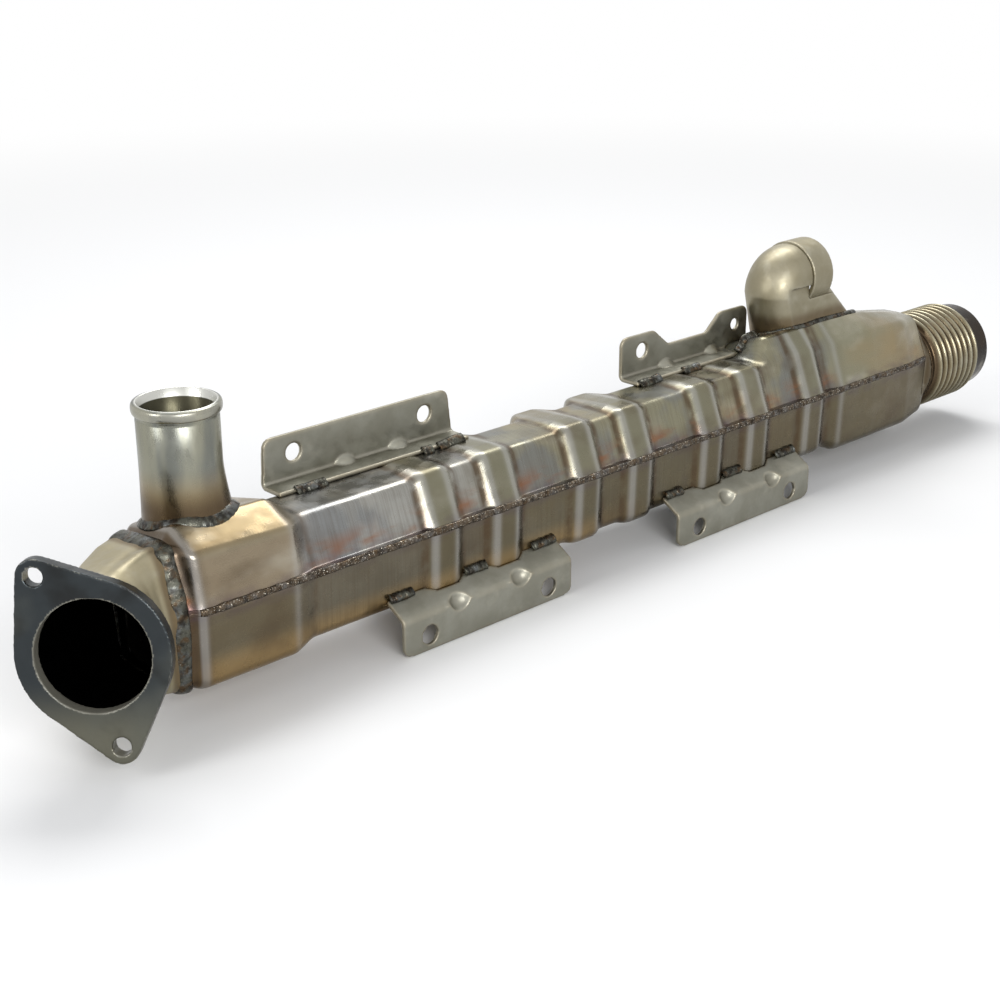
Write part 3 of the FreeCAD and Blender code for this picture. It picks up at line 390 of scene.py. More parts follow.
def weld_metal(name, base, soot, glint_specks):
    """Weld bead: soot over brown and grey, bright specks painted as glints of bare metal, and a fine
    rough skin.
    """
    finish = Finish(name, base)
    finish.layer(STEEL_BLUE, finish.maths("MULTIPLY", finish.cloud(9, 3, (1, 1, 1), 0.45, 0.7), 0.5))
    finish.layer(BROWN, finish.cloud(6, 4, (1, 1, 1), 0.48, 0.66, 3.0))
    finish.layer(SOOT, finish.maths("MULTIPLY", finish.cloud(5, 4, (1, 1, 1), 0.42, 0.66, 8.0), soot))
    # Bright specks: painted glints on bare metal
    finish.layer(colour(206, 200, 186), finish.cloud(0.9, 3, (1, 1, 1), glint_specks, glint_specks + 0.07, 5.0))
    finish.rough(finish.cloud(3, 4), 0.24, 0.45)
    finish.bump(finish.cloud(0.9, 3), 0.06)
    return finish.done()


def flange_metal():
    """Machined flange: dark slate face, sooty in clouds, with a painted reflection paler toward its
    lower ear, and a grey bore.
    """
    finish = Finish("flange_steel", colour(56, 60, 62))
    height = finish.axis("z")
    # Paler toward the lower ear: a painted reflection on the machined face
    finish.layer(colour(112, 110, 96), finish.maths("MULTIPLY", finish.range(height, -14, -52), 0.8))
    worn_patches = finish.cloud(50, 2, (1, 1, 1), 0.5, 0.7, 2.0)
    finish.layer(colour(92, 94, 88), finish.maths("MULTIPLY", worn_patches, 0.4))
    soot = finish.cloud(34, 3, (1, 1, 1), 0.5, 0.7, 6.0)
    finish.layer(SOOT, finish.maths("MULTIPLY", soot, 0.5))
    bore = finish.painted("Blue")
    finish.layer(colour(112, 110, 100), bore)
    # The bore's oxide is hardly a mirror
    finish.tree.links.new(finish.range(bore, 0, 1, 1, 0.1), finish.shader.inputs["Metallic"])
    # Outward edges paler: bare chamfers and a painted highlight
    edges = finish.range(finish.painted("Red"), 0.6, 1)
    finish.layer(colour(176, 174, 162), finish.maths("MULTIPLY", edges, 0.5))
    finish.rough(finish.cloud(5, 4, (1, 1, 1), 0.3, 0.7, 3.0), 0.3, 0.42)
    finish.bump(finish.cloud(0.4, 2, (1, 1, 12)), 0.006).bump(finish.cloud(30, 1), 0.1)
    return finish.done()


def pipe_metal():
    """Hose pipe: grey green steel, brown toward its foot, inside painted dark as shade, with a bright
    turned mouth.
    """
    finish = Finish("hose_pipe_steel", colour(144, 143, 128))
    streaks = finish.cloud(24, 3, (1, 1, 5), 0.4, 0.6)
    finish.layer(colour(108, 111, 108), finish.maths("MULTIPLY", streaks, 0.8))
    height = finish.axis("z")
    finish.layer(colour(138, 116, 78), finish.maths("MULTIPLY", finish.range(height, 80, 56), 0.7))
    finish.layer(BROWN, finish.maths("MULTIPLY", finish.range(height, 69, 50), 0.9))
    finish.layer(PALE, finish.maths("MULTIPLY", finish.painted("Red"), 0.3))
    # The inside is painted dark as shade
    finish.layer(colour(64, 62, 50), finish.painted("Blue"))
    finish.layer(colour(196, 196, 190), finish.painted("Green"))
    finish.rough(finish.cloud(7, 4, (1, 1, 2), 0.3, 0.7, 3.0), 0.24, 0.36)
    finish.bump(finish.cloud(0.5, 2, (1, 1, 8)), 0.01).bump(finish.cloud(16, 1), 0.06)
    return finish.done()


SHELL = stamped_steel()
SEAM_WELD = weld_metal("seam_weld", colour(92, 81, 68), 0.75, 0.61)
WELD = weld_metal("broad_weld", colour(84, 84, 76), 0.8, 0.69)
# The duct's inside is painted near black as shade
DUCT = plain_steel(
    "duct_steel", colour(162, 154, 130), colour(146, 137, 110), (0.4, 0.52), inside=SHADE_BLACK,
    heat=("x", -13, -4, (GOLD, BROWN)),
)
# Dark brown, darkened further as painted shade in the gap before the bellows
CAP = plain_steel("cap_steel", colour(92, 82, 64), BROWN, (0.3, 0.44))
HOSE_PIPE = pipe_metal()
PIPE = plain_steel(
    "pipe_steel", colour(150, 144, 124), colour(130, 122, 98), (0.4, 0.5),
    heat=("z", 66, 48, (GOLD, BROWN)),
)
FLANGE = flange_metal()
BRACKET = plain_steel(
    "bracket_steel", colour(150, 149, 138), colour(127, 125, 112), (0.38, 0.5),
    edge=colour(170, 148, 112),
)
# The bellows' crests are paler as a painted highlight and their grooves darker as painted shade
BELLOWS = plain_steel(
    "bellows_steel", colour(138, 132, 110), colour(130, 116, 84), (0.24, 0.34),
    edge=colour(196, 192, 172), corner_shade=0.95,
)
DARK = plain_steel("dark_collar", colour(44, 40, 36), colour(66, 54, 42), (0.2, 0.3))
# Near black: soot on the gas side and painted shade inside the closed housing
CORE = plain_steel("sooty_shaded_core", colour(30, 28, 26), colour(22, 20, 18), (0.6, 0.8), edges=0)


# The stamped shells

WALL = 2.0
LIP_HEIGHT = 2.0
# So many of a section's points lie on each lip
LIP_POINTS = 16
# A section's half widths front and rear at the seam, at the shoulders (up, down) and at the lips;
# its heights at both shoulders, the ridge and the base; the rounds of its shoulders
VALLEY = dict(
    front=33.0, rear=37.0, up_front=20.5, up_rear=20.5, top=33.5, rear_top=33.5, ridge=33.5,
    ridge_y=-8.0, round=8.0, down_front=31.5, down_rear=34.0, base=49.8, base_round=9.0,
    lip_front=38.5, lip_rear=45.0,
)
CREST = dict(
    VALLEY, front=37.5, rear=43.5, up_front=22.5, up_rear=36.0, top=36.5, rear_top=32.5, ridge=36.5,
    down_front=36.0, down_rear=40.0, base=51.0,
)
COLLAR = dict(
    VALLEY, rear=40.0, up_rear=36.0, down_rear=37.0, base=52.0, top=38.5, rear_top=32.5, ridge=38.5,
    lip_front=33.25, lip_rear=40.25,
)
CHAMBER = dict(
    CREST, rear=44.0, up_front=30.0, up_rear=41.5, top=34.5, rear_top=34.5, ridge=47.0,
    down_rear=41.5, base=53.8,
)
CHAMBER_END = dict(CHAMBER, up_front=34.0, top=33.5, rear_top=33.5, ridge=46.0)
ROOF = dict(rear=44.0, up_rear=41.5, rear_top=34.5, ridge=53.0)
ROOF_VALLEY = dict(VALLEY, **ROOF)
ROOF_CREST = dict(CREST, **ROOF)
OUTLET = dict(ROOF_CREST, up_front=24.0, top=36.0, down_rear=41.5, base=55.8)
OUTLET_FALL = dict(OUTLET, up_front=29.0, top=38.5, ridge=51.0)
OUTLET_SLOPE = dict(
    OUTLET, front=36.5, rear=39.5, up_front=26.0, up_rear=33.5, down_rear=37.5, ridge=40.5,
    lip_rear=40.5, ridge_y=-4.0,
)
END = dict(
    VALLEY, front=34.5, rear=34.5, up_front=19.0, up_rear=19.0, top=34.5, rear_top=34.5, ridge=35.0,
    ridge_y=0.0, round=13.0, down_front=33.0, down_rear=33.0, base=54.0, base_round=13.0,
    lip_front=34.75, lip_rear=34.75,
)
RIBS = (204.0, 260.0, 340.5, 396.5, 477.0, 533.0, 605.0)
RIB_FLAT, RIB_RAMP = 20.0, 7.0
SHELL_LENGTH = 766.0


def rib(centre, valley, crest):
    half = RIB_FLAT / 2
    foot = half + RIB_RAMP
    places = (centre - foot, centre - half, centre + half, centre + foot)
    return list(zip(places, (valley, crest, crest, valley)))


STATIONS = [(0, COLLAR), (5, COLLAR), (10, CHAMBER), (80, CHAMBER_END), (96, VALLEY)]
for centre in RIBS[:-1]:
    STATIONS += rib(centre, VALLEY, CREST)
STATIONS += [(558, VALLEY), (571, ROOF_VALLEY)] + rib(RIBS[-1], ROOF_VALLEY, ROOF_CREST)
STATIONS += [(628, ROOF_VALLEY), (641, OUTLET), (690, OUTLET_FALL), (740, OUTLET_SLOPE)]
STATIONS += [(SHELL_LENGTH, END)]

PRESS_STEP = 0.5
PRESS_ROUND = 1.9
PRESS_REACH = 12
# The bend of the front's line, in 1/mm, that is painted in full as a highlight on an outward bend or as
# shade in an inward one
PRESS_BEND = 0.09


def pressed_forms():
    """The section's sizes along the cooler, with every kink eased as a press tool eases it."""
    along = np.arange(0, SHELL_LENGTH + PRESS_STEP / 2, PRESS_STEP)
    reach = np.arange(-PRESS_REACH, PRESS_REACH + 1)
    weights = np.exp(-0.5 * (reach * PRESS_STEP / PRESS_ROUND) ** 2)
    weights /= weights.sum()
    sizes = {}
    for name in VALLEY:
        line = np.interp(along, [x for x, _ in STATIONS], [form[name] for _, form in STATIONS])
        sizes[name] = np.convolve(np.pad(line, PRESS_REACH, mode="edge"), weights, mode="valid")
    return along, sizes


ALONG, PRESSED = pressed_forms()


def form_at(x):
    return {name: float(np.interp(x, ALONG, line)) for name, line in PRESSED.items()}


def arc_corner(before, corner, after, radius, steps):
    """Points of a round between two straight runs."""
    first = (before - corner) / np.linalg.norm(before - corner)
    second = (after - corner) / np.linalg.norm(after - corner)
    half = math.acos(max(-1, min(1, float(first @ second)))) / 2
    way = (first + second) / np.linalg.norm(first + second)
    centre = corner + way * radius / math.sin(half)
    start = corner + first * radius / math.tan(half) - centre
    end = corner + second * radius / math.tan(half) - centre
    sweep = math.pi - 2 * half
    arc = []
    for share in np.linspace(0, 1, steps):
        part = math.sin((1 - share) * sweep) * start + math.sin(share * sweep) * end
        arc.append(centre + part / math.sin(sweep))
    return arc


def run(start, end, steps):
    """Points between two places, both left out."""
    return [start + (end - start) * share for share in np.linspace(0, 1, steps + 2)[1:-1]]


def crease(lip, wall):
    """Round between a lip and a wall, smaller where they nearly meet."""
    return 0.45 * min(lip - wall, 3.0) + 0.05


def skin_profile(form, upper):
    """Outer and inner skin of one shell as (y, z) from lip to lip, with z away from the seam."""
    side = "up" if upper else "down"
    top, ridge = (form["top"], form["ridge"]) if upper else (form["base"], form["base"])
    rear_top = form["rear_top"] if upper else form["base"]
    bend = form["round"] if upper else form["base_round"]
    shoulder = np.array((-form[side + "_front"], top))
    crown = np.array((form["ridge_y"] if upper else 0.0, ridge + 0.2))
    far_shoulder = np.array((form[side + "_rear"], rear_top))
    corner_shade, rounds, steps = [np.array((-form["lip_front"], 0.0))], [0.0], [1]

    def corner(point, radius, count):
        corner_shade.append(np.array(point))
        rounds.append(radius)
        steps.append(count)

    def lip(place, wall, peak):
        fold = crease(abs(place), abs(wall))
        edge = ((place, LIP_HEIGHT), 0.6 if fold > 0.4 else 0.1, 3)
        foot = ((wall + (peak[0] - wall) * LIP_HEIGHT / peak[1], LIP_HEIGHT), fold, 4)
        return edge, foot

    edge, foot = lip(-form["lip_front"], -form["front"], shoulder)
    corner(*edge)
    corner(*foot)
    corner(shoulder, bend, 10)
    corner(crown, 7.0, 6)
    corner(far_shoulder, bend, 10)
    edge, foot = lip(form["lip_rear"], form["rear"], far_shoulder)
    corner(*foot)
    corner(*edge)
    corner((form["lip_rear"], 0.0), 0.0, 1)
    outer = [corner_shade[0]]
    for place in range(1, len(corner_shade) - 1):
        bend_points = arc_corner(*corner_shade[place - 1:place + 2], rounds[place], steps[place])
        outer += run(outer[-1], bend_points[0], 4)
        outer += bend_points
    outer += run(outer[-1], corner_shade[-1], 4)
    outer.append(corner_shade[-1])
    outer = np.array(outer)
    ways = np.gradient(outer, axis=0)
    ways /= np.linalg.norm(ways, axis=1)[:, None]
    inward = np.stack((ways[:, 1], -ways[:, 0]), axis=1)
    inner = (outer + inward * WALL)[LIP_POINTS:-LIP_POINTS]
    inner = np.concatenate(([[inner[0][0], 0.0]], inner, [[inner[-1][0], 0.0]]))
    return outer, inner


def shell(name, upper):
    """One stamped half with its lips."""
    side = 1 if upper else -1
    places = np.linspace(0, SHELL_LENGTH, 512)
    loops = []
    for x in places:
        outer, inner = skin_profile(form_at(x), upper)
        loop = np.concatenate((outer, inner[::-1]))
        loops.append(np.column_stack((np.full(len(loop), x), loop[:, 0], side * loop[:, 1])))
    piece = rings(name, loops, SHELL, (name.replace("_skin", ""),))
    # The inner skin's points are flagged to be painted black as shade
    paint(piece, upper, np.tile([0] * len(outer) + [1] * len(inner), len(places)))
    return piece


def paint(piece, upper, inside):
    """Paint tint (red beside the seam, green low in the valleys, blue in all of them), and painted
    light: highlight on outward bends, shade in inward bends and on the inner skin.
    """
    points = points_of(piece) / MM + HOME
    height = np.abs(points[:, 2])
    full_depth = CREST["front"] - VALLEY["front"]
    depth = np.interp(points[:, 0], ALONG, CREST["front"] - PRESSED["front"]) / full_depth
    seam = np.exp(-((height - 1) / 4.0) ** 2)
    low = np.exp(-((height - 8) / 6.0) ** 2) * np.clip(depth, 0, 1) * upper
    keep_colours(piece, "tint", (seam, low, np.clip(depth, 0, 1)))
    slope = np.gradient(PRESSED["front"], PRESS_STEP)
    bend = np.interp(points[:, 0], ALONG, np.gradient(slope, PRESS_STEP))
    paint_light_shade_and_wear(piece, -bend / PRESS_BEND, bend / PRESS_BEND, inside)


upper = shell("upper_shell_skin", True)
shell("lower_shell_skin", False)
upper_tree = BVHTree.FromObject(upper, bpy.context.evaluated_depsgraph_get())


def roof(x, y):
    """The drawing's height of the upper shell's roof at a place, and the way its skin faces."""
    start = Vector(place((x, y, 200)))
    hit, facing, _, _ = upper_tree.ray_cast(start, Vector((0, 0, -1)))
    return hit.z / MM + HOME[2], np.array(facing)


# Weld beads

BEAD_DEEP = 1.2
BEAD_RISE = 0.4
SEAM_BEAD = dict(width=5.0, height=2.0, pitch=1.9, material=SEAM_WELD)
END_BEAD = dict(width=11.5, height=2.4, pitch=4.2, full=0.6, uneven=0.25)
INLET_BEAD = dict(width=8.5, height=2.2, pitch=3.4, full=0.6, uneven=0.8)
HOOD_BEAD = dict(width=4.6, height=1.7, uneven=0.7)
FRONT_BEAD = dict(width=7.5, height=3.2)
REAR_BEAD = dict(width=8.0, height=3.0)


def along_path(marks, lengths, points):
    return np.stack([np.interp(marks, lengths, line) for line in points.T], axis=1)


def weld(
    name, path, outward, width, height, replaces=(), closed=False, seed=0, pitch=2.2, full=0.8,
    uneven=1.0, material=WELD,
):
    """A hand-laid bead with a crescent ripple every pitch mm.

    Its section is a half-round, fuller as full falls; uneven says how far its edge and height wander.
    """
    path = np.asarray(path, float)
    outward = np.asarray(outward, float)
    if closed:
        path = np.vstack((path, path[:1]))
        outward = np.vstack((outward, outward[:1]))
    lengths = np.concatenate(([0], np.cumsum(np.linalg.norm(np.diff(path, axis=0), axis=1))))
    count = max(12, int(lengths[-1] / (pitch / 4)))
    marks = np.linspace(0, lengths[-1], count, endpoint=not closed)
    centres = along_path(marks, lengths, path)
    normals = along_path(marks, lengths, outward)
    normals /= np.linalg.norm(normals, axis=1)[:, None]
    if closed:
        ways = np.roll(centres, -1, axis=0) - np.roll(centres, 1, axis=0)
    else:
        ways = np.gradient(centres, axis=0)
    ways /= np.linalg.norm(ways, axis=1)[:, None]
    across = np.cross(normals, ways)
    turns = np.linspace(0, math.pi, 8)
    loops = []
    for mark, centre, normal, side, way in zip(marks, centres, normals, across, ways):
        ripple = (mark / pitch) % 1
        wander = noise.noise(Vector((mark * 0.13, seed * 7.3, 0.4)))
        lump = noise.noise(Vector((mark * 0.45, seed * 3.1, 5.2)))
        wide = width / 2 * (1 + 0.16 * uneven * wander)
        high = height * (0.8 + uneven * (0.3 * lump + 0.16 * (1 - ripple) ** 2))
        lean = 0.35 * pitch * np.sin(turns)
        loop = [
            centre + side * wide * math.cos(turn) + normal * high * math.sin(turn) ** full - way * back
            for turn, back in zip(turns, lean)
        ]
        loop += [centre - side * wide * 0.9 - normal * BEAD_DEEP]
        loop += [centre + side * wide * 0.9 - normal * BEAD_DEEP]
        loops.append(loop)
    return rings(name, loops, material, replaces, closed)


seam_places = np.arange(9.0, SHELL_LENGTH - 2, 1.5)
seam_edge = {
    "seam_weld_front": [(x, -form_at(x)["lip_front"] + BEAD_RISE, 0) for x in seam_places],
    "seam_weld_rear": [(x, form_at(x)["lip_rear"] - BEAD_RISE, 0) for x in seam_places],
}
for number, (node, path) in enumerate(seam_edge.items()):
    facing = -1 if node.endswith("front") else 1
    weld(node + "_bead", path, [(0, facing, 0)] * len(path), replaces=(node,), seed=number, **SEAM_BEAD)

END_WELD_X = -2.2
over, _ = skin_profile(form_at(0), True)
under, _ = skin_profile(form_at(0), False)
collar = list(over[LIP_POINTS:-LIP_POINTS]) + [(y, -z) for y, z in under[LIP_POINTS:-LIP_POINTS][::-1]]
path = [(END_WELD_X, y, z) for y, z in collar]
facing = [(-0.3 * math.hypot(y, z), y, z) for y, z in np.array(collar) - np.mean(collar, axis=0)]
weld(
    "inlet_end_weld_bead", path, facing, replaces=("inlet_end_weld",), closed=True, seed=5,
    **END_BEAD,
)


def round_foot(points, centre, lowest=0.0):
    """A closed path around a foot on the roof, not below a height, and the ways its bead faces."""
    path, facing = [], []
    for x, y in points:
        height, normal = roof(x, y)
        away = np.array((x - centre[0], y - centre[1], 0))
        away /= np.linalg.norm(away)
        path.append((x, y, max(height, lowest) + BEAD_RISE))
        facing.append(away * 0.7 + normal)
    return path, facing


def around(centre, radius, start, end, steps, last=True):
    """Points of an arc in the drawing's plan."""
    return [
        (centre[0] + radius * math.cos(a), centre[1] + radius * math.sin(a))
        for a in np.linspace(start, end, steps, endpoint=last)
    ]


INLET_X, INLET_Y, INLET_RADIUS = 35.6, 15.0, 25.4
# The pipe's foot leans along x and widens between two heights
FLARE, FLARE_LOW, FLARE_HIGH, FLARE_WIDER = 2.6, 40.0, 76.0, 3.1
# The pipe's rear just overhangs the side of the chamber and meets it at this height
INLET_FOOT_LOW = 29.5
foot_middle = (INLET_X + FLARE, INLET_Y)
foot_reach = INLET_RADIUS + FLARE_WIDER * 0.8 + 0.4
inlet_foot = around(foot_middle, foot_reach, 0, 2 * math.pi, 120, last=False)
path, facing = round_foot(inlet_foot, foot_middle, INLET_FOOT_LOW)
weld(
    "coolant_inlet_weld_bead", path, facing, replaces=("coolant_inlet_weld",), closed=True, seed=9,
    **INLET_BEAD,
)

OUTLET_Y, HOOD_MIDDLE_X = 16.0, 650.0
RISER_FOOT_X, RISER_FOOT_REACH = 618.8, 24.2
SKIRT, TOE_X, TOE_ROUND = 23.4, 697.6, 9.0
QUARTER = math.pi / 2
hood_foot = [
    (x, np.clip(y, OUTLET_Y - SKIRT, OUTLET_Y + SKIRT))
    for x, y in around((RISER_FOOT_X, OUTLET_Y), RISER_FOOT_REACH, QUARTER, 3 * QUARTER, 40)
]
side_places = np.linspace(RISER_FOOT_X + 3, TOE_X - TOE_ROUND, 30)
hood_foot += [(x, OUTLET_Y - SKIRT) for x in side_places]
for side, start in ((-1, -QUARTER), (1, 0)):
    toe_corner = (TOE_X - TOE_ROUND, OUTLET_Y + side * (SKIRT - TOE_ROUND))
    hood_foot += around(toe_corner, TOE_ROUND, start, start + QUARTER, 8)
hood_foot += [(x, OUTLET_Y + SKIRT) for x in side_places[-2::-1]]
path, facing = round_foot(hood_foot, (HOOD_MIDDLE_X, OUTLET_Y))
weld(
    "coolant_outlet_weld_bead", path, facing, replaces=("coolant_outlet_weld",), closed=True, seed=12,
    **HOOD_BEAD,
)

# Short welds hold each bracket in the valleys: the front ones on top of their sloping legs, against
# the shell's side, and the rear ones before their legs on the roof
FRONT_PLATE_Y, LEG_Z, LEG_SLOPE, LEG_LEVEL = -49.5, -50.0, 13.0 / 22.5, 40.0
REAR_LEG_Y = 12.0
UP_AND_FRONT = (0, -0.6, 0.8)
FOOT_STEPS = 16


def front_foot(x):
    form = form_at(x)
    side = -form["front"] + (form["front"] - form["down_front"]) * LEG_LEVEL / form["base"]
    return (x, side - 0.8, LEG_Z + LEG_SLOPE * (side - FRONT_PLATE_Y) + 0.6)


def rear_foot(x):
    return (x, REAR_LEG_Y, roof(x, REAR_LEG_Y - 1)[0] + 1.4)


for name, foot, bead, seed, spans in (
    ("front_left", front_foot, FRONT_BEAD, 20, ((156, 176), (222, 242), (286, 308))),
    ("front_right", front_foot, FRONT_BEAD, 20, ((428, 446), (495, 516), (560, 583))),
    ("rear_left", rear_foot, REAR_BEAD, 30, ((118, 142), (226, 234), (240, 262))),
    ("rear_right", rear_foot, REAR_BEAD, 30, ((446, 468), (496, 515), (562, 585))),
):
    for number, (start, end) in enumerate(spans):
        path = [foot(x) for x in np.linspace(start, end, FOOT_STEPS)]
        weld("%s_foot_%d" % (name, number), path, [UP_AND_FRONT] * len(path), seed=seed + start, **bead)

# Turned pieces

def turned(name, profile, centre, along, material, replaces, steps):
    """A closed ring turned about an axis along x or z from a profile of (along, radius, shift in x)."""
    loops = []
    for turn in np.linspace(0, 2 * math.pi, steps, endpoint=False):
        loop = []
        for run_along, radius, shift in profile:
            a, b = radius * math.cos(turn), radius * math.sin(turn)
            offset = (run_along, a, b) if along == "x" else (a + shift, b, run_along)
            loop.append(np.add(centre, offset))
        loops.append(loop)
    return rings(name, loops, material, replaces, closed=True)


GAS_Z = -14.0
BELLOWS_START, BELLOWS_END, BELLOWS_WALL, BELLOWS_STEPS = 774.0, 843.0, 1.0, 112
FOLD_START, FOLD_PITCH, FOLDS, CREST_R, ROOT_R = 778.0, 8.0, 8, 42.4, 37.2
fold_places = np.linspace(BELLOWS_START, BELLOWS_END, 180)
outer = []
for x in fold_places:
    phase = (x - FOLD_START - FOLD_PITCH / 2) / FOLD_PITCH
    wave = 0.5 + 0.5 * math.cos(2 * math.pi * phase)
    inside = FOLD_START <= x <= FOLD_START + FOLDS * FOLD_PITCH
    outer.append((x, ROOT_R + (CREST_R - ROOT_R) * (wave ** 0.75 if inside else 0.0), 0))
inner = [(x, radius - BELLOWS_WALL, 0) for x, radius, _ in outer[::-1]]
folds = turned(
    "bellows_folds", outer + inner, (0, 0, GAS_Z), "x", BELLOWS,
    ("bellows",), BELLOWS_STEPS,
)
# Crest tops are kept for a painted highlight and grooves for painted shade
crest = [(radius - ROOT_R) / (CREST_R - ROOT_R) for _, radius, _ in outer] + [0] * len(inner)
crest = np.tile(crest, BELLOWS_STEPS)
paint_light_shade_and_wear(folds, (crest - 0.8) * 5, (1 - crest) * 1.7, np.zeros(len(crest)))

RIM, PIPE_START, PIPE_WALL, PIPE_STEPS = 115.2, 20.0, 2.0, 120
GROOVE, GROOVE_HALF, GROOVE_DEEP = RIM - 9.2, 1.0, 0.8
BEAD_FOOT, BEAD_MIDDLE, BEAD_HALF, BEAD_RADIUS = RIM - 7.6, RIM - 3.8, 3.4, 27.5
MOUTH_DEEP, MOUTH_CUT = 5.5, 0.4
bore = INLET_RADIUS - PIPE_WALL
pipe = [(PIPE_START, bore, 0), (PIPE_START, INLET_RADIUS, 0)]
for z in np.linspace(FLARE_LOW, FLARE_HIGH, 12):
    share = ((FLARE_HIGH - z) / (FLARE_HIGH - FLARE_LOW)) ** 1.5
    pipe.append((z, INLET_RADIUS + FLARE_WIDER * share, FLARE * share))
pipe += [
    (GROOVE - GROOVE_HALF, INLET_RADIUS, 0), (GROOVE, INLET_RADIUS - GROOVE_DEEP, 0),
    (GROOVE + GROOVE_HALF, INLET_RADIUS, 0), (BEAD_FOOT, INLET_RADIUS, 0),
]
for a in np.linspace(-QUARTER, QUARTER, 13):
    rise = (BEAD_RADIUS - INLET_RADIUS) * math.cos(a) ** 0.6
    pipe.append((BEAD_MIDDLE + BEAD_HALF * math.sin(a), INLET_RADIUS + rise, 0))
pipe += [
    (RIM - 0.2, INLET_RADIUS - 0.2, 0), (RIM, INLET_RADIUS - 0.7, 0), (RIM - 0.4, bore + MOUTH_CUT, 0),
    (RIM - MOUTH_DEEP, bore + MOUTH_CUT, 0), (RIM - MOUTH_DEEP - 0.3, bore, 0),
]
hose_pipe = turned(
    "coolant_inlet_hose_pipe", pipe, (INLET_X, INLET_Y, 0), "z", HOSE_PIPE,
    ("coolant_inlet_pipe",), PIPE_STEPS,
)
# The bead is rubbed bright, the mouth is turned bright and the rest of the inside is painted dark as
# shade
shares = [
    (1.0 if radius > INLET_RADIUS + 1.2 and z > RIM - 8 else 0.0, 0.0, 0.0) for z, radius, _ in pipe
]
shares[0] = shares[-1] = (0, 0, 1)
shares[-5:-1] = [(0.6, 0.6, 0), (0, 1, 0), (0, 1, 0), (0, 1, 0)]
paint_light_shade_and_wear(hose_pipe, *np.tile(np.array(shares), (PIPE_STEPS, 1)).T)

# Pieces kept in the CAD's own form, with eased edges

OUTLET_Z = 89.3
# The middle lines of the bores, each as a point and a direction
OUTLET_AXIS = ((0, OUTLET_Y, OUTLET_Z), (1, 0, 0))
DUCT_AXIS = ((-30, -20, -4), (0.8, 0.6, -0.1))
FLANGE_AXIS = ((-67.0, -42.6, 0.1), (-0.703, -0.6935, 0.156))
softened("coolant_outlet_hood", PIPE, 0.8, 3)
softened("coolant_outlet_pipe", PIPE, 0.8, 2, OUTLET_AXIS)
softened("inlet_transition", DUCT, 1.2, 3, DUCT_AXIS)
softened("inlet_flange", FLANGE, 0.9, 2, FLANGE_AXIS)
softened("outlet_cap", CAP, 1.0, 4)
for side in ("front_left", "front_right", "rear_left", "rear_right"):
    softened(side + "_bracket", BRACKET, 0.9, 3)
plain_nodes = {"bellows_sleeve": BELLOWS, "bellows_end_collar": DARK}
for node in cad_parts:
    if node.startswith(("gas_tube", "baffle")) or node.endswith("_header"):
        plain_nodes[node] = CORE
for node, material in plain_nodes.items():
    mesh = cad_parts[node].data
    mesh.materials.clear()
    mesh.materials.append(material)

# Floor, light and camera

def seen_directly(tree):
    """1 for what the camera sees, also in a reflection or through glass."""
    rays = tree.nodes.new("ShaderNodeLightPath")
    seen = rays.outputs["Is Camera Ray"]
    for kind in ("Is Glossy Ray", "Is Transmission Ray"):
        either = tree.nodes.new("ShaderNodeMath")
        either.operation = "MAXIMUM"
        tree.links.new(seen, either.inputs[0])
        tree.links.new(rays.outputs[kind], either.inputs[1])
        seen = either.outputs[0]
    return seen


# The floor fades into the backdrop between these distances from its middle, in metres
FADE_START, FADE_END = 0.7, 2.2


def floor_paint():
    """White floor that keeps shadows near the cooler and fades into the white backdrop far away."""
    material = bpy.data.materials.new("floor_white")
    material.use_nodes = True
    tree = material.node_tree
    surface = tree.nodes["Principled BSDF"]
    surface.inputs["Base Color"].default_value = (0.86, 0.86, 0.86, 1)
    surface.inputs["Roughness"].default_value = 0.9
    surface.inputs["Specular IOR Level"].default_value = 0.1
    glow = tree.nodes.new("ShaderNodeEmission")
    glow.inputs["Color"].default_value = (1, 1, 1, 1)
    spot = tree.nodes.new("ShaderNodeTexCoord")
    reach = tree.nodes.new("ShaderNodeVectorMath")
    reach.operation = "LENGTH"
    far = tree.nodes.new("ShaderNodeMapRange")
    far.interpolation_type = "SMOOTHSTEP"
    far.inputs["From Min"].default_value = FADE_START
    far.inputs["From Max"].default_value = FADE_END
    share = tree.nodes.new("ShaderNodeMath")
    share.operation = "MULTIPLY"
    mix = tree.nodes.new("ShaderNodeMixShader")
    tree.links.new(spot.outputs["Object"], reach.inputs[0])
    tree.links.new(reach.outputs["Value"], far.inputs["Value"])
    tree.links.new(far.outputs["Result"], share.inputs[0])
    tree.links.new(seen_directly(tree), share.inputs[1])
    tree.links.new(share.outputs[0], mix.inputs[0])
    tree.links.new(surface.outputs[0], mix.inputs[1])
    tree.links.new(glow.outputs[0], mix.inputs[2])
    tree.links.new(mix.outputs[0], tree.nodes["Material Output"].inputs["Surface"])
    return material


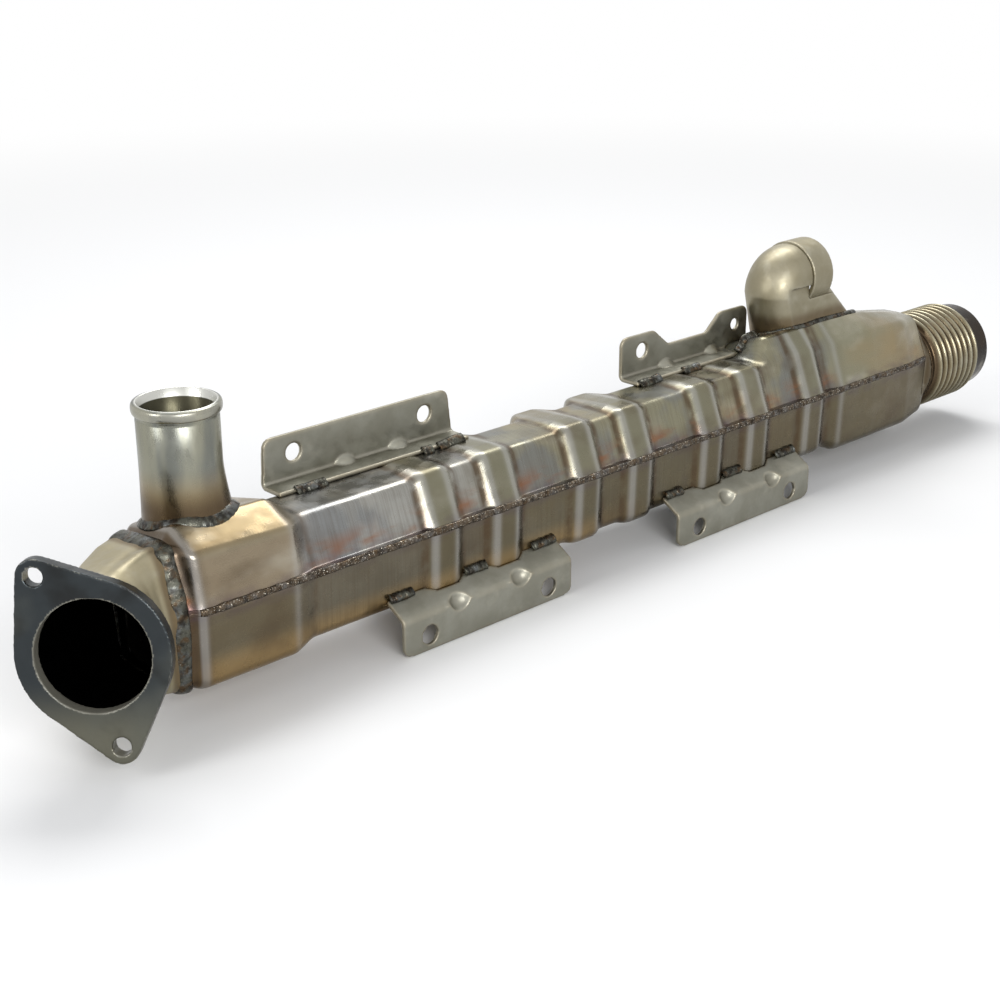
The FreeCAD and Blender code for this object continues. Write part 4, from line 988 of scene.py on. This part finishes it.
FLOOR_HALF = 12.0
FLOOR_GAP = 0.0005
floor_mesh = bpy.data.meshes.new("floor")
corner_shade = [(x * FLOOR_HALF, y * FLOOR_HALF, 0) for x, y in ((-1, -1), (1, -1), (1, 1), (-1, 1))]
floor_mesh.from_pydata(corner_shade, [], [(0, 1, 2, 3)])
floor_mesh.materials.append(floor_paint())
floor = bpy.data.objects.new("floor", floor_mesh)
floor.location = (0.15, 0.04, cad_box[0][2] - FLOOR_GAP)
bpy.context.scene.collection.objects.link(floor)

MIDDLE = (0.15, 0.05, 0.07)


def softbox(name, spot, width, height, watts):
    """A rectangular lamp that faces the middle of the cooler."""
    data = bpy.data.lights.new(name, "AREA")
    data.shape = "RECTANGLE"
    data.size, data.size_y = width, height
    data.energy = watts
    lamp = bpy.data.objects.new(name, data)
    lamp.location = spot
    lamp.rotation_euler = (Vector(MIDDLE) - Vector(spot)).to_track_quat("-Z", "Y").to_euler()
    bpy.context.scene.collection.objects.link(lamp)


softbox("key", (-0.75, -1.75, 0.95), 1.1, 0.7, 26)
softbox("top", (0.9, 0.9, 1.9), 1.8, 0.9, 30)
softbox("side", (-1.9, 0.1, 1.0), 0.7, 1.1, 12)

world = bpy.data.worlds.new("studio")
bpy.context.scene.world = world
world.use_nodes = True
tree = world.node_tree
tree.nodes.clear()
output = tree.nodes.new("ShaderNodeOutputWorld")
choose = tree.nodes.new("ShaderNodeMixShader")
tree.links.new(seen_directly(tree), choose.inputs[0])
# The backdrop is white where it is seen, and lights the cooler more weakly
for number, shade, strength in ((1, (0.95, 0.97, 1, 1), 0.45), (2, (1, 1, 1, 1), 1.0)):
    backdrop = tree.nodes.new("ShaderNodeBackground")
    backdrop.inputs["Color"].default_value = shade
    backdrop.inputs["Strength"].default_value = strength
    tree.links.new(backdrop.outputs[0], choose.inputs[number])
tree.links.new(choose.outputs[0], output.inputs["Surface"])

camera_data = bpy.data.cameras.new("camera")
camera_data.lens = 61.03
camera_data.sensor_width = 36.0
camera = bpy.data.objects.new("camera", camera_data)
camera.location = (-0.71517, -0.77215, 0.49411)
camera.rotation_euler = Euler([math.radians(turn) for turn in (68.57, 0.2, -43.205)])
bpy.context.scene.collection.objects.link(camera)
bpy.context.scene.camera = camera
bpy.context.scene.view_settings.view_transform = "Standard"
